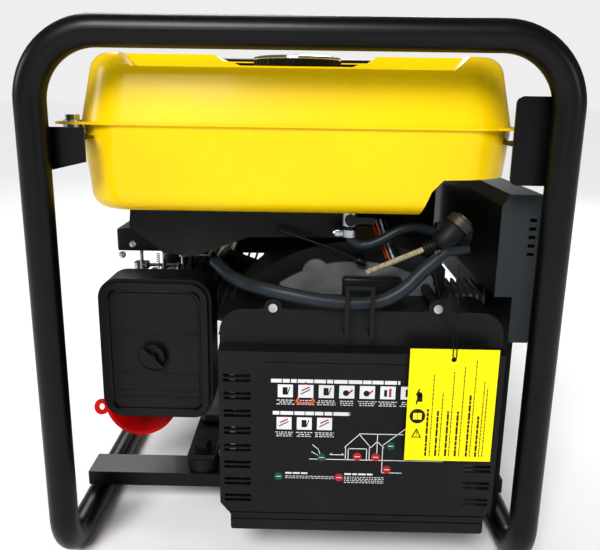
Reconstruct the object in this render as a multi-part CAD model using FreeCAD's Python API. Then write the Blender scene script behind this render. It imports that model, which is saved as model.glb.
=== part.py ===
import FreeCAD, Part
import math
import os

# Open frame portable generator, in millimetres.
# Origin: middle of the footprint, on the floor. +X is the control panel side,
# -Y is the fan end with the louvred cover, +Z is up.

V = FreeCAD.Vector

# ---- driving dimensions -------------------------------------------------------------
WIDTH = 530.0             # over the frame tubes, X
LENGTH = 695.0            # over the frame tubes, Y
HEIGHT = 580.0            # over the frame tubes, Z
TUBE = 30.0               # frame tube outside diameter
TUBE_WALL = 2.0
TOP_BEND = 65.0           # centre line radius of the hoop's upper corners
FOOT_BEND = 48.0          # centre line radius where a leg turns into the rail

TANK_LEFT, TANK_RIGHT = -229.0, 221.0
TANK_LONG = 596.0
TANK_SEAM_Z = 481.0
TANK_TOP_Z = 551.0
TANK_BOTTOM_Z = 392.0
TANK_SHEET = 1.5
TANK_DRAFT = 11.0         # degrees, both ways from the seam
CAP_X, CAP_Y = -4.0, -195.0

CRANK_X, CRANK_Z = 67.0, 177.0
CYLINDER_TILT = 20.0      # degrees above level, towards -X
FAN_R = 95.0
CASTING_R = 156.0
SHROUD_R = 178.0
STATOR_R = 98.0

FILTER_X0, FILTER_X1 = -226.0, -97.0
FILTER_Z0, FILTER_Z1 = 140.0, 309.0
FILTER_FRONT = -252.0
INTAKE_X, INTAKE_Z = -152.0, 268.0

COVER_X0, COVER_X1 = -78.0, 213.0
COVER_Z0, COVER_Z1 = 54.0, 300.0
COVER_FRONT = -336.0

GAP = 0.3                 # clearance between pieces that move past each other

HALF_X = (WIDTH - TUBE) / 2
HALF_Y = (LENGTH - TUBE) / 2
RAIL_Z = TUBE / 2
BAR_Z = HEIGHT - TUBE / 2


# ---- shapes -------------------------------------------------------------------------
def box(x0, y0, z0, x1, y1, z1):
    return Part.makeBox(x1 - x0, y1 - y0, z1 - z0, V(x0, y0, z0))


def rod(start, end, radius, end_radius=None):
    """Cylinder, or cone when a second radius is given, from start to end."""
    axis = end - start
    if end_radius is None:
        return Part.makeCylinder(radius, axis.Length, start, axis)
    return Part.makeCone(radius, end_radius, axis.Length, start, axis)


def ring(start, end, outer, inner):
    return rod(start, end, outer).cut(rod(start, end, inner))


def fuse(first, *others):
    shape = first
    for other in others:
        shape = shape.fuse(other)
    return shape.removeSplitter()


def rounded(shape, radius, along):
    """Rounds every straight edge that runs along one axis."""
    axis = {"x": V(1, 0, 0), "y": V(0, 1, 0), "z": V(0, 0, 1)}[along]
    edges = []
    for edge in shape.Edges:
        if isinstance(edge.Curve, Part.Line) and abs(edge.Curve.Direction.dot(axis)) > 0.999:
            edges.append(edge)
    return shape.makeFillet(radius, edges)


def prism(points, along, start, end):
    """Closed outline in the plane square to an axis, pushed from start to end.

    The outline's two numbers are (y, z) for x, (x, z) for y and (x, y) for z."""
    def place(a, b):
        return {"x": V(start, a, b), "y": V(a, start, b), "z": V(a, b, start)}[along]
    corners = [place(a, b) for a, b in points]
    face = Part.Face(Part.makePolygon(corners + corners[:1]))
    push = {"x": V(1, 0, 0), "y": V(0, 1, 0), "z": V(0, 0, 1)}[along]
    return face.extrude(push * (end - start))


def rounded_outline(x0, y0, x1, y1, radius, z):
    """Level rectangle with round corners, as one wire."""
    flat = Part.Face(Part.makePolygon([V(x0, y0, z), V(x1, y0, z), V(x1, y1, z),
                                       V(x0, y1, z), V(x0, y0, z)]))
    block = rounded(flat.extrude(V(0, 0, 1)), radius, "z")
    lowest = min(block.Faces, key=lambda face: face.CenterOfMass.z)
    return lowest.OuterWire


def path_of(points, radii):
    """Straight runs joined by tangent arcs, one radius for each inner point."""
    edges = []
    start = points[0]
    for before, corner, after, radius in zip(points, points[1:], points[2:], radii):
        back = (before - corner).normalize()
        ahead = (after - corner).normalize()
        half_turn = (math.pi - back.getAngle(ahead)) / 2
        reach = radius * math.tan(half_turn)
        inward = (back + ahead).normalize()
        first = corner + back * reach
        last = corner + ahead * reach
        middle = corner + inward * (radius / math.cos(half_turn) - radius)
        if (first - start).Length > 1e-4:
            edges.append(Part.LineSegment(start, first).toShape())
        edges.append(Part.Arc(first, middle, last).toShape())
        start = last
    if (points[-1] - start).Length > 1e-4:
        edges.append(Part.LineSegment(start, points[-1]).toShape())
    return Part.Wire(edges)


def tube(points, radii, radius):
    """Solid round bar along runs and arcs."""
    path = path_of(points, radii)
    circle = Part.Circle(points[0], points[1] - points[0], radius)
    profile = Part.Wire([circle.toShape()])
    solid = path.makePipeShell([profile], True, False)
    if solid.Volume < 0:
        solid.reverse()
    return solid


def easy_radii(points):
    """As large an arc at each inner point as its two runs allow."""
    radii = []
    for before, corner, after in zip(points, points[1:], points[2:]):
        half_turn = (math.pi - (before - corner).getAngle(after - corner)) / 2
        shorter = min((corner - before).Length, (after - corner).Length)
        radii.append(0.45 * shorter / math.tan(half_turn))
    return radii


def cord(name, points, radius):
    """Limp tube along a route; prints its bends and its volume against its length."""
    radii = easy_radii(points)
    solid = tube(points, radii, radius)
    length = path_of(points, radii).Length
    section = math.pi * radius * radius
    print("%s: length %.1f, bends %s, volume ratio %.4f"
          % (name, length, [round(r, 1) for r in radii], solid.Volume / (section * length)))
    return solid


def hex_prism(centre, axis, across, height):
    """Hexagonal head with its base at centre."""
    reach = across / math.sqrt(3)
    corners = [V(reach * math.cos(math.radians(60 * k)), reach * math.sin(math.radians(60 * k)), 0)
               for k in range(6)]
    solid = Part.Face(Part.makePolygon(corners + corners[:1])).extrude(V(0, 0, height))
    turn = FreeCAD.Rotation(V(0, 0, 1), axis)
    solid.Placement = FreeCAD.Placement(centre, turn)
    return solid


def bolt(head_at, direction, length, radius, across=None):
    """Hex bolt: the head's base is at head_at and the shank runs along direction."""
    across = across or 3.2 * radius
    back = direction * -1
    head = hex_prism(head_at, back, across, 1.3 * radius)
    return fuse(head, rod(head_at, head_at + direction * length, radius))


def save(name, *solids):
    shape = solids[0] if len(solids) == 1 else Part.makeCompound(list(solids))
    count = len(shape.Solids)
    if not shape.isValid() or min(solid.Volume for solid in shape.Solids) <= 0:
        print("NOT VALID:", name)
    shape.exportStep("parts/" + name + ".step")
    corner = shape.BoundBox
    print("%-26s %2d solid(s)  x %7.1f..%7.1f  y %7.1f..%7.1f  z %6.1f..%6.1f"
          % (name, count, corner.XMin, corner.XMax, corner.YMin, corner.YMax,
             corner.ZMin, corner.ZMax))
    SHAPES[name] = shape


SHAPES = {}


# ---- frame --------------------------------------------------------------------------
def hoop_bar(side, radius):
    """Round bar along half of the frame: rail, leg, top bar, leg and rail."""
    y = side * HALF_Y
    points = [V(-HALF_X, 0, RAIL_Z), V(-HALF_X, y, RAIL_Z), V(-HALF_X, y, BAR_Z),
              V(HALF_X, y, BAR_Z), V(HALF_X, y, RAIL_Z), V(HALF_X, 0, RAIL_Z)]
    return tube(points, [FOOT_BEND, TOP_BEND, TOP_BEND, FOOT_BEND], radius)


def frame_parts():
    """Two bent hoops, welded end to end at the middle of the rails."""
    for side, name in ((-1, "front"), (1, "rear")):
        bore = hoop_bar(side, TUBE / 2 - TUBE_WALL)
        save(name + "_frame_tube", hoop_bar(side, TUBE / 2).cut(bore))


CROSS_Y = 195.0           # the two cross members, front and rear of the middle
CROSS_TOP = 48.0
CROSS_BOTTOM = 30.0
CROSS_HALF_DEPTH = 22.0
SHEET = 3.0


def cross_member(y):
    """Folded steel channel across the rails, open downwards, with a foot on each rail."""
    half = HALF_X + 11
    body = box(-half, y - CROSS_HALF_DEPTH, CROSS_BOTTOM, half, y + CROSS_HALF_DEPTH, CROSS_TOP)
    inside = box(-half, y - CROSS_HALF_DEPTH + SHEET, CROSS_BOTTOM,
                 half, y + CROSS_HALF_DEPTH - SHEET, CROSS_TOP - SHEET)
    channel = body.cut(inside)
    rails = [rod(V(x, y - 60, RAIL_Z), V(x, y + 60, RAIL_Z), TUBE / 2) for x in (-HALF_X, HALF_X)]
    return channel.cut(rails[0]).cut(rails[1])


MOUNT_X = (-118.0, 178.0)  # rubber mounts, left and right
MOUNT_R = 20.0
MOUNT_HIGH = 20.0
BED_Z0 = CROSS_TOP + MOUNT_HIGH
BED_Z1 = BED_Z0 + 6
FOOT_HIGH = 14.0          # the alternator's saddle on the bed rails


def mount_solid(x, y):
    """Bonded rubber block with a steel plate and a stud nut on top."""
    low = CROSS_TOP
    rubber = rod(V(x, y, low), V(x, y, low + MOUNT_HIGH - 3), MOUNT_R)
    plate = rod(V(x, y, low + MOUNT_HIGH - 3), V(x, y, low + MOUNT_HIGH), MOUNT_R - 1)
    return fuse(rubber, plate)


def base_parts():
    """Cross members with the two struts of the control box, then the engine's mounts."""
    struts = []
    for y in (-262.0, 222.0):
        post = box(236, y, RAIL_Z + 8, 242, y + 26, 256)
        struts.append(post.cut(rod(V(HALF_X, y - 40, RAIL_Z), V(HALF_X, y + 60, RAIL_Z), TUBE / 2)))
    save("cross_members", cross_member(-CROSS_Y), cross_member(CROSS_Y), *struts)
    mounts = []
    for x in MOUNT_X:
        for y in (-CROSS_Y, CROSS_Y):
            top = BED_Z1 if y < 0 else BED_Z1 + FOOT_HIGH
            mounts.append(mount_solid(x, y))
            mounts.append(fuse(rod(V(x, y, top), V(x, y, top + 2), 11),
                               hex_prism(V(x, y, top + 2), V(0, 0, 1), 17, 8)))
    save("engine_mounts", *mounts)


# ---- fuel tank ----------------------------------------------------------------------
TANK_CORNER = 52.0        # plan radius of the tank's corners
TANK_CROWN = 20.0         # radius between the sides and the top
TANK_BELLY = 18.0         # radius between the sides and the bottom
EAR_X = 245.0
FLANGE = 6.0


def tank_body(top, offset):
    """Solid of one half of the tank, shrunk by offset: top half or bottom half."""
    lean = math.tan(math.radians(TANK_DRAFT))
    end_z = (TANK_TOP_Z if top else TANK_BOTTOM_Z)
    draw = abs(end_z - TANK_SEAM_Z) * lean * (1.0 if top else 0.45)
    x0, x1 = TANK_LEFT + offset, TANK_RIGHT - offset
    y0, y1 = -TANK_LONG / 2 + offset, TANK_LONG / 2 - offset
    corner = TANK_CORNER - offset
    end_z = end_z - offset if top else end_z + offset
    seam = rounded_outline(x0, y0, x1, y1, corner, TANK_SEAM_Z)
    end = rounded_outline(x0 + draw, y0 + draw, x1 - draw, y1 - draw, corner - draw / 2, end_z)
    solid = Part.makeLoft([seam, end], True, True)
    far = [edge for edge in solid.Edges
           if abs(edge.BoundBox.ZMin - end_z) < 0.01 and abs(edge.BoundBox.ZMax - end_z) < 0.01]
    radius = (TANK_CROWN if top else TANK_BELLY) - offset
    solid = solid.makeFillet(radius, far)
    return solid


WELL_Z = 540.0            # floor round the filler cap
STEP_Z = 544.0            # step between the floor and the raised top
LEDGE_Z = 536.5           # lowered strip along the front edge
WELL_BACK = -110.0
LEDGE_BACK = -252.0


def top_recesses():
    """Ledge along the front edge and the stepped well round the cap, as cutters."""
    over = TANK_TOP_Z + 6
    front = -TANK_LONG / 2 - 5
    ledge_across = prism([(-190, over), (-166, LEDGE_Z), (152, LEDGE_Z), (176, over)],
                         "y", front, LEDGE_BACK + 30)
    ledge_along = prism([(front, LEDGE_Z), (LEDGE_BACK, LEDGE_Z), (LEDGE_BACK + 16, over),
                         (front, over)], "x", -195, 180)
    step = prism([(-98, over), (-80, STEP_Z), (70, STEP_Z), (88, over)], "y", front, WELL_BACK)
    well = prism([(-74, STEP_Z + 1), (-62, WELL_Z), (54, WELL_Z), (66, STEP_Z + 1)],
                 "y", front, WELL_BACK - 12)
    return [ledge_across.common(ledge_along), step, well]


def belly_notch():
    """Raised corner of the tank's belly on the control panel side, as a cutter."""
    low = TANK_BOTTOM_Z - 10
    return prism([(122, low), (136, 418), (147, 430), (260, 433), (260, low)],
                 "y", -TANK_LONG / 2 - 5, TANK_LONG / 2 + 5)


def flange_plate(z0, z1):
    """Pinched seam round the tank with an ear at each corner."""
    half = TANK_LONG / 2
    rim = box(TANK_LEFT - FLANGE, -half - FLANGE / 2, z0, TANK_RIGHT + FLANGE,
              half + FLANGE / 2, z1)
    rim = rounded(rim, TANK_CORNER, "z")
    plate = rim
    for y0, y1 in ((-half + 2, -half + 40), (half - 40, half - 2)):
        ear = box(-EAR_X, y0, z0, EAR_X, y1, z1)
        plate = plate.fuse(rounded(ear, 12, "z"))
    return plate.removeSplitter()


BOLT_Y = 281.0            # tank bolts, front and rear
BOLT_X = (-229.0, 226.0)
LID_THICK = 1.2           # each of the two flange plates
TAP_X, TAP_Y = 56.0, -258.0


def bolt_holes(shape, z0, z1, radius):
    for x in BOLT_X:
        for y in (-BOLT_Y, BOLT_Y):
            shape = shape.cut(rod(V(x, y, z0), V(x, y, z1), radius))
    return shape


def tank_parts():
    """Pressed upper shell with the filler neck welded in, and pressed lower shell."""
    outer = tank_body(True, 0)
    inner = tank_body(True, TANK_SHEET)
    for cutter in top_recesses():
        outer = outer.cut(cutter)
        inner = inner.cut(cutter.translated(V(0, 0, -TANK_SHEET)))
    flange = flange_plate(TANK_SEAM_Z, TANK_SEAM_Z + LID_THICK)
    upper = outer.fuse(flange).cut(inner).removeSplitter()
    upper = upper.cut(rod(V(CAP_X, CAP_Y, WELL_Z - 5), V(CAP_X, CAP_Y, WELL_Z + 5), NECK_R))
    neck = ring(V(CAP_X, CAP_Y, WELL_Z - 8), V(CAP_X, CAP_Y, NECK_TOP), NECK_R, NECK_BORE)
    save("fuel_tank_upper", bolt_holes(upper.fuse(neck), 470, 490, 4.5))

    outer = tank_body(False, 0).cut(belly_notch())
    inner = tank_body(False, TANK_SHEET).cut(belly_notch().translated(V(-TANK_SHEET, 0, TANK_SHEET)))
    flange = flange_plate(TANK_SEAM_Z - LID_THICK, TANK_SEAM_Z)
    lower = outer.fuse(flange).cut(inner).removeSplitter()
    lower = lower.cut(rod(V(TAP_X, TAP_Y, TANK_BOTTOM_Z - 5), V(TAP_X, TAP_Y, TANK_BOTTOM_Z + 5), 6))
    save("fuel_tank_lower", bolt_holes(lower, 470, 490, 4.5))


NECK_R = 26.0
NECK_BORE = 23.0
NECK_TOP = WELL_Z + 5
CAP_R = 48.5
CAP_TOP = 553.5


def filler_parts():
    top = NECK_TOP
    rim = ring(V(CAP_X, CAP_Y, top), V(CAP_X, CAP_Y, top + 1), NECK_R - 1, NECK_BORE - 4)
    cup_r = NECK_BORE - 2
    cup = rod(V(CAP_X, CAP_Y, top - 45), V(CAP_X, CAP_Y, top + 0.5), cup_r)
    cup = cup.cut(rod(V(CAP_X, CAP_Y, top - 44), V(CAP_X, CAP_Y, top + 1), cup_r - 1))
    save("fuel_strainer", fuse(rim, cup))
    gasket_z = top + 1
    save("cap_gasket", ring(V(CAP_X, CAP_Y, gasket_z + GAP), V(CAP_X, CAP_Y, gasket_z + 2.3),
                            NECK_R + 1, NECK_BORE - 3))
    disc = rod(V(CAP_X, CAP_Y, WELL_Z + 1.5), V(CAP_X, CAP_Y, CAP_TOP), CAP_R)
    top_edge = [edge for edge in disc.Edges if edge.BoundBox.ZMin > CAP_TOP - 0.1]
    disc = disc.makeFillet(3.5, top_edge)
    hollow = rod(V(CAP_X, CAP_Y, WELL_Z), V(CAP_X, CAP_Y, gasket_z + 2.6), NECK_R + 2)
    skirt = ring(V(CAP_X, CAP_Y, WELL_Z), V(CAP_X, CAP_Y, gasket_z + 3), CAP_R - 5, NECK_R + 5)
    cap = disc.cut(hollow).cut(skirt)
    for turn in range(16):
        angle = math.radians(22.5 * turn)
        x = CAP_X + (CAP_R + 1.2) * math.cos(angle)
        y = CAP_Y + (CAP_R + 1.2) * math.sin(angle)
        cap = cap.cut(rod(V(x, y, WELL_Z), V(x, y, CAP_TOP - 4), 3))
    save("fuel_cap", cap)


TAB_Z0, TAB_Z1 = 466.0, 469.0
PLATE_Y = HALF_Y - TUBE / 2 + 1.0


def tank_bracket(side, rear):
    """Bent steel bracket on a hoop leg; side is -1 left or +1 right, rear is -1 or +1."""
    y_out = rear * PLATE_Y
    y_in = rear * (PLATE_Y - SHEET)
    low, high = sorted((y_out, y_in))
    leg_x = HALF_X + 6
    if side < 0:
        plate = prism([(-leg_x, 433), (-206, 445), (-206, 478), (-leg_x, 478)], "y", low, high)
    else:
        plate = prism([(206, 429), (leg_x, 429), (leg_x, 513), (206, 513)], "y", low, high)
        plate = rounded(plate, 7, "y")
    x0, x1 = (-242, -206) if side < 0 else (206, 242)
    tab_low, tab_high = sorted((rear * (PLATE_Y - SHEET), rear * (BOLT_Y - 17)))
    tab = rounded(box(x0, tab_low, TAB_Z0, x1, tab_high, TAB_Z1), 5, "z")
    hole = BOLT_X[0] if side < 0 else BOLT_X[1]
    bracket = plate.fuse(tab).removeSplitter().cut(hoop_bar(rear, TUBE / 2))
    bracket = bracket.cut(tank_body(False, -1.5))
    return bracket.cut(rod(V(hole, rear * BOLT_Y, 460), V(hole, rear * BOLT_Y, 475), 4.5))


def tank_fixings():
    save("tank_brackets", *[tank_bracket(side, rear) for side in (-1, 1) for rear in (-1, 1)])
    places = [V(x, y, 0) for x in BOLT_X for y in (-BOLT_Y, BOLT_Y)]
    low = TANK_SEAM_Z - LID_THICK
    high = TANK_SEAM_Z + LID_THICK
    rubbers = [ring(p + V(0, 0, TAB_Z1), p + V(0, 0, low), 9.5, 4.2) for p in places]
    down = V(0, 0, -1)
    bolts = []
    for p in places:
        washer = rod(p + V(0, 0, high), p + V(0, 0, high + 1.6), 9)
        bolts.append(fuse(washer, bolt(p + V(0, 0, high + 1.6), down, 29, 4, 13)))
        nut = hex_prism(p + V(0, 0, TAB_Z0 - 6.5), V(0, 0, 1), 13, 6.5)
        bolts.append(nut.cut(rod(p + V(0, 0, 450), p + V(0, 0, 470), 4)))
    save("tank_fixings", *bolts, *rubbers)


# ---- engine -------------------------------------------------------------------------
BLOCK_Y0, BLOCK_Y1 = -140.0, 50.0
SHAFT_R = 17.5
BEARING_R = 27.0
CRANK = V(CRANK_X, 0, CRANK_Z)


def on_crank(y):
    return V(CRANK_X, y, CRANK_Z)


def tilted(shape):
    """Places a shape built about the origin, with the cylinder along +Z, on the crank."""
    turn = FreeCAD.Rotation(V(0, 1, 0), CYLINDER_TILT - 90)
    shape.Placement = FreeCAD.Placement(CRANK, turn)
    return shape


def bed_parts():
    """Two folded rails under the engine and the saddle that carries the alternator."""
    rails = []
    for x in MOUNT_X:
        top = box(x - 17, -217, BED_Z0, x + 17, 217, BED_Z1)
        lips = [box(x + dx, -170, BED_Z0 - 12, x + dx + 3, 170, BED_Z0) for dx in (-17, 14)]
        rails.append(fuse(top, *lips))
    foot = box(MOUNT_X[0] - 15, 180, BED_Z1, MOUNT_X[1] + 15, 212, BED_Z1 + FOOT_HIGH)
    save("engine_bed", *rails, foot.cut(rod(on_crank(170), on_crank(220), STATOR_R)))


def crankcase():
    foot = box(MOUNT_X[0] - 15, -125, BED_Z1, MOUNT_X[1] + 15, 40, BED_Z1 + 10)
    foot = rounded(foot, 8, "z")
    block = box(CRANK_X - 104, BLOCK_Y0, BED_Z1 + 2, CRANK_X + 92, BLOCK_Y1, CRANK_Z + 84)
    block = rounded(block, 16, "y")
    barrel = tilted(rod(V(0, -20, 60), V(0, -20, 200), 52))
    fins = [tilted(rounded(box(-56, -84, z, 56, 44, z + 3), 14, "z"))
            for z in (136, 147, 158, 169, 180, 191)]
    body = fuse(foot, block, barrel, *fins)
    cavity = box(CRANK_X - 94, BLOCK_Y0 + 14, BED_Z1 + 12, CRANK_X + 82, BLOCK_Y1 + 1, CRANK_Z + 74)
    body = body.cut(rounded(cavity, 10, "y"))
    body = body.cut(tilted(rod(V(0, -20, 50), V(0, -20, 210), 44)))
    body = body.cut(rod(on_crank(BLOCK_Y0 - 1), on_crank(BLOCK_Y0 + 20), BEARING_R))
    oil_hole = rod(V(CRANK_X - 120, -60, 112), V(CRANK_X - 80, -60, 112), 10)
    return body.cut(oil_hole)


HEAD_Y0, HEAD_Y1 = -84.0, 44.0
PORT = V(INTAKE_X, 0, INTAKE_Z)


def engine_parts():
    save("crankcase", crankcase())
    plate = box(CRANK_X - 104, BLOCK_Y1, BED_Z1 + 2, CRANK_X + 92, BLOCK_Y1 + 12, CRANK_Z + 84)
    plate = rounded(plate, 16, "y")
    boss = rod(on_crank(BLOCK_Y1), on_crank(BLOCK_Y1 + 22), 48)
    bore = rod(on_crank(BLOCK_Y1 - 1), on_crank(BLOCK_Y1 + 30), SHAFT_R + 4)
    seat = rod(on_crank(BLOCK_Y1 - 1), on_crank(BLOCK_Y1 + 14), BEARING_R)
    adapter = ring(on_crank(BLOCK_Y1 + 12), on_crank(STATOR_Y0), STATOR_R - 4, STATOR_R - 16)
    for k in range(8):
        port = box(60, 70, -11, 110, 86, 11)
        port.rotate(V(0, 0, 0), V(0, 1, 0), 45 * k + 22)
        adapter = adapter.cut(port.translated(CRANK))
    save("side_cover", fuse(plate, boss).cut(bore).cut(seat), adapter)
    save("shaft_bearings",
         ring(on_crank(BLOCK_Y0), on_crank(BLOCK_Y0 + 14), BEARING_R, SHAFT_R),
         ring(on_crank(BLOCK_Y1), on_crank(BLOCK_Y1 + 14), BEARING_R, SHAFT_R),
         ring(on_crank(STATOR_Y1), on_crank(STATOR_Y1 + 14), BEARING_R, 15))
    wall = CRANK_X - 104
    grip = rounded(box(wall - 20, -60 - 4, 112 - 12, wall - 6, -60 + 4, 112 + 12), 3, "x")
    disc = rod(V(wall - 7, -60, 112), V(wall - GAP, -60, 112), 14)
    thread = rod(V(wall - 1, -60, 112), V(wall + 9, -60, 112), 10 - GAP)
    blade = rod(V(wall + 8, -60, 112), V(wall + 60, -60, 112), 2)
    save("dipstick", fuse(grip, disc, thread, blade))

    head = rounded(box(-55, HEAD_Y0, 200, 55, HEAD_Y1, 245), 12, "z")
    for z in (208, 219, 230):
        slot = box(-70, HEAD_Y0 - 5, z, 70, HEAD_Y1 + 5, z + 6)
        core = rounded(box(-44, HEAD_Y0 + 10, z - 1, 44, HEAD_Y1 - 10, z + 7), 10, "z")
        head = head.cut(slot.cut(core))
    chamber = rod(V(0, -20, 199), V(0, -20, 207), 42)
    head = tilted(head.cut(chamber))
    face_y = -100
    port = rod(V(INTAKE_X, face_y, INTAKE_Z), V(INTAKE_X + 4, HEAD_Y0 + 14, INTAKE_Z - 2), 18, 21)
    port_rear = rod(V(INTAKE_X + 4, HEAD_Y1 - 14, INTAKE_Z - 2), V(INTAKE_X, 62, INTAKE_Z), 21, 18)
    ports = port.fuse(port_rear).common(box(-300, -100, 0, 0, 62, 400))
    outside = tilted(box(-60, -100, 245, 60, 100, 330))
    head = fuse(head, ports.cut(outside))
    head = head.cut(rod(V(INTAKE_X, face_y - 1, INTAKE_Z), V(INTAKE_X, face_y + 30, INTAKE_Z), 11))
    head = head.cut(rod(V(INTAKE_X, 40, INTAKE_Z), V(INTAKE_X, 63, INTAKE_Z), 12))
    save("cylinder_head", head)
    cover = rounded(box(-48, HEAD_Y0 + 8, 245, 48, HEAD_Y1 - 8, 278), 14, "z")
    top = [edge for edge in cover.Edges if edge.BoundBox.ZMin > 277.9]
    cover = cover.makeFillet(8, top)
    inside = rounded(box(-45, HEAD_Y0 + 11, 244, 45, HEAD_Y1 - 11, 275), 11, "z")
    save("valve_cover", tilted(cover.cut(inside)))


def crank_parts():
    shaft = rod(on_crank(-238), on_crank(-52), SHAFT_R)
    tail = rod(on_crank(12), on_crank(92), SHAFT_R)
    webs = []
    for y0 in (-64, 0):
        web = rounded(box(CRANK_X - 26, y0, CRANK_Z - 58, CRANK_X + 26, y0 + 18, CRANK_Z + 48), 20, "y")
        webs.append(web)
    pin = rod(V(CRANK_X, -50, CRANK_Z + 32), V(CRANK_X, 4, CRANK_Z + 32), 16)
    save("crankshaft", fuse(shaft, tail, pin, *webs))
    rim = ring(on_crank(-196), on_crank(-166), 92, 78)
    disc = ring(on_crank(-178), on_crank(-170), 79, SHAFT_R)
    hub = ring(on_crank(-196), on_crank(-160), 34, SHAFT_R)
    save("flywheel", fuse(rim, disc, hub))
    back = ring(on_crank(-200), on_crank(-196), FAN_R, 40)
    blades = []
    for k in range(14):
        blade = box(42, -224, -2, FAN_R, -199, 2)
        blade.rotate(V(0, 0, 0), V(0, 1, 0), 360 / 14 * k)
        blade.translate(CRANK)
        blades.append(blade)
    save("cooling_fan", fuse(back, *blades))


SHROUD_FRONT = -240.0
SHEET_THIN = 1.6


def shroud_outline(margin):
    """Round housing cut square at its sides and foot, as a solid through the fan."""
    drum = rod(on_crank(SHROUD_FRONT), on_crank(BLOCK_Y0), SHROUD_R - margin)
    crop = box(COVER_X0 + 6 + margin, SHROUD_FRONT, BED_Z1 + 2 + margin,
               CRANK_X + 99 - margin, BLOCK_Y0, 400)
    return rounded(crop, 10, "y").common(drum)


def housing_parts():
    outer = shroud_outline(0)
    inner = shroud_outline(SHEET_THIN).translated(V(0, SHEET_THIN, 0))
    window = rod(on_crank(SHROUD_FRONT - 1), on_crank(SHROUD_FRONT + 5), CASTING_R - 12)
    save("fan_housing", outer.cut(inner).cut(window))

    crop = box(COVER_X0 + 10, -260, BED_Z0, CRANK_X + 88, -200, 360)
    disc = rod(on_crank(SHROUD_FRONT - 6), on_crank(SHROUD_FRONT), CASTING_R)
    lugs = []
    for degrees in (108, 62, 200, 235, 305, 340):
        angle = math.radians(degrees)
        x = CRANK_X + 150 * math.cos(angle)
        z = CRANK_Z + 150 * math.sin(angle)
        lugs.append(rod(V(x, SHROUD_FRONT - 6, z), V(x, SHROUD_FRONT, z), 15))
    face = fuse(disc, *lugs).common(rounded(crop, 12, "y"))
    eye = rod(on_crank(SHROUD_FRONT - 7), on_crank(SHROUD_FRONT + 1), 84)
    hub = rod(on_crank(SHROUD_FRONT - 6), on_crank(SHROUD_FRONT - 1), 30)
    spokes = []
    for k in range(5):
        spoke = box(0, -5, -7, 90, 0, 7)
        spoke.rotate(V(0, 0, 0), V(0, 1, 0), 72 * k + 18)
        spokes.append(spoke.translated(on_crank(SHROUD_FRONT - 1)))
    save("fan_end_casting", fuse(face.cut(eye), hub, *spokes))

    duct = prism([(-188, 386), (-190, 366), (-152, 336), (-118, 333), (-56, 356), (-10, 357),
                  (64, 357), (64, 386)], "y", -232, -20)
    hollow = prism([(-186, 390), (-187.5, 367), (-151.5, 338), (-118.5, 335), (-56.5, 358),
                    (62, 359), (62, 390)], "y", -230, -10)
    save("air_duct", duct.cut(hollow).cut(box(-230, -169, 300, -150, -94, 353)))


MUFFLER = (-212.0, 96.0, 176.0, -112.0, 292.0, 330.0)


def exhaust_parts():
    points = [V(INTAKE_X, 62, INTAKE_Z), V(INTAKE_X, 84, INTAKE_Z), V(INTAKE_X, 96, INTAKE_Z)]
    pipe = ring(points[0], points[2], 15, 12)
    flange = rounded(box(INTAKE_X - 30, 62, INTAKE_Z - 20, INTAKE_X + 30, 68, INTAKE_Z + 20), 12, "y")
    flange = flange.cut(rod(points[0], points[2], 12))
    x0, y0, z0, x1, y1, z1 = MUFFLER
    shell = rounded(box(x0, y0, z0, x1, y1, z1), 30, "y")
    ends = [edge for edge in shell.Edges if edge.BoundBox.YLength < 0.1]
    shell = shell.makeFillet(8, ends)
    inner = rounded(box(x0 + 2, y0 + 2, z0 + 2, x1 - 2, y1 - 2, z1 - 2), 28, "y")
    ends = [edge for edge in inner.Edges if edge.BoundBox.YLength < 0.1]
    shell = shell.cut(inner.makeFillet(6, ends))
    shell = shell.cut(rod(V(INTAKE_X, y0 - 1, INTAKE_Z), V(INTAKE_X, y0 + 5, INTAKE_Z), 12))
    outlet_at = V(x0 + 34, y1 - 4, z0 + 44)
    outlet_end = V(x0 + 34, y1 + 22, z0 + 44)
    shell = shell.cut(rod(outlet_at, outlet_end, 11))
    outlet = ring(V(x0 + 34, y1, z0 + 44), outlet_end, 13, 11)
    save("muffler", fuse(shell, outlet, pipe, flange))
    guard = box(x0 - 7, y0 + 8, z0 + 14, x0 - 5, y1 - 8, z1 - 14)
    for row in range(7):
        for column in range(8):
            z = z0 + 28 + 16 * row
            y = y0 + 24 + 20 * column
            guard = guard.cut(rod(V(x0 - 8, y, z), V(x0, y, z), 5))
    posts = [rod(V(x0 - 5, y, z), V(x0 + 0.5, y, z), 4)
             for y in (y0 + 16, y1 - 16) for z in (z0 + 36, z1 - 36)]
    save("muffler_guard", fuse(guard, *[post.cut(shell) for post in posts]))


# ---- carburettor and air filter -----------------------------------------------------
CARB_Y0, CARB_Y1 = -160.0, -100.0
THROTTLE_Y = -116.0
CHOKE_Y = -146.0
LINK_Z = 306.0


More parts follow.
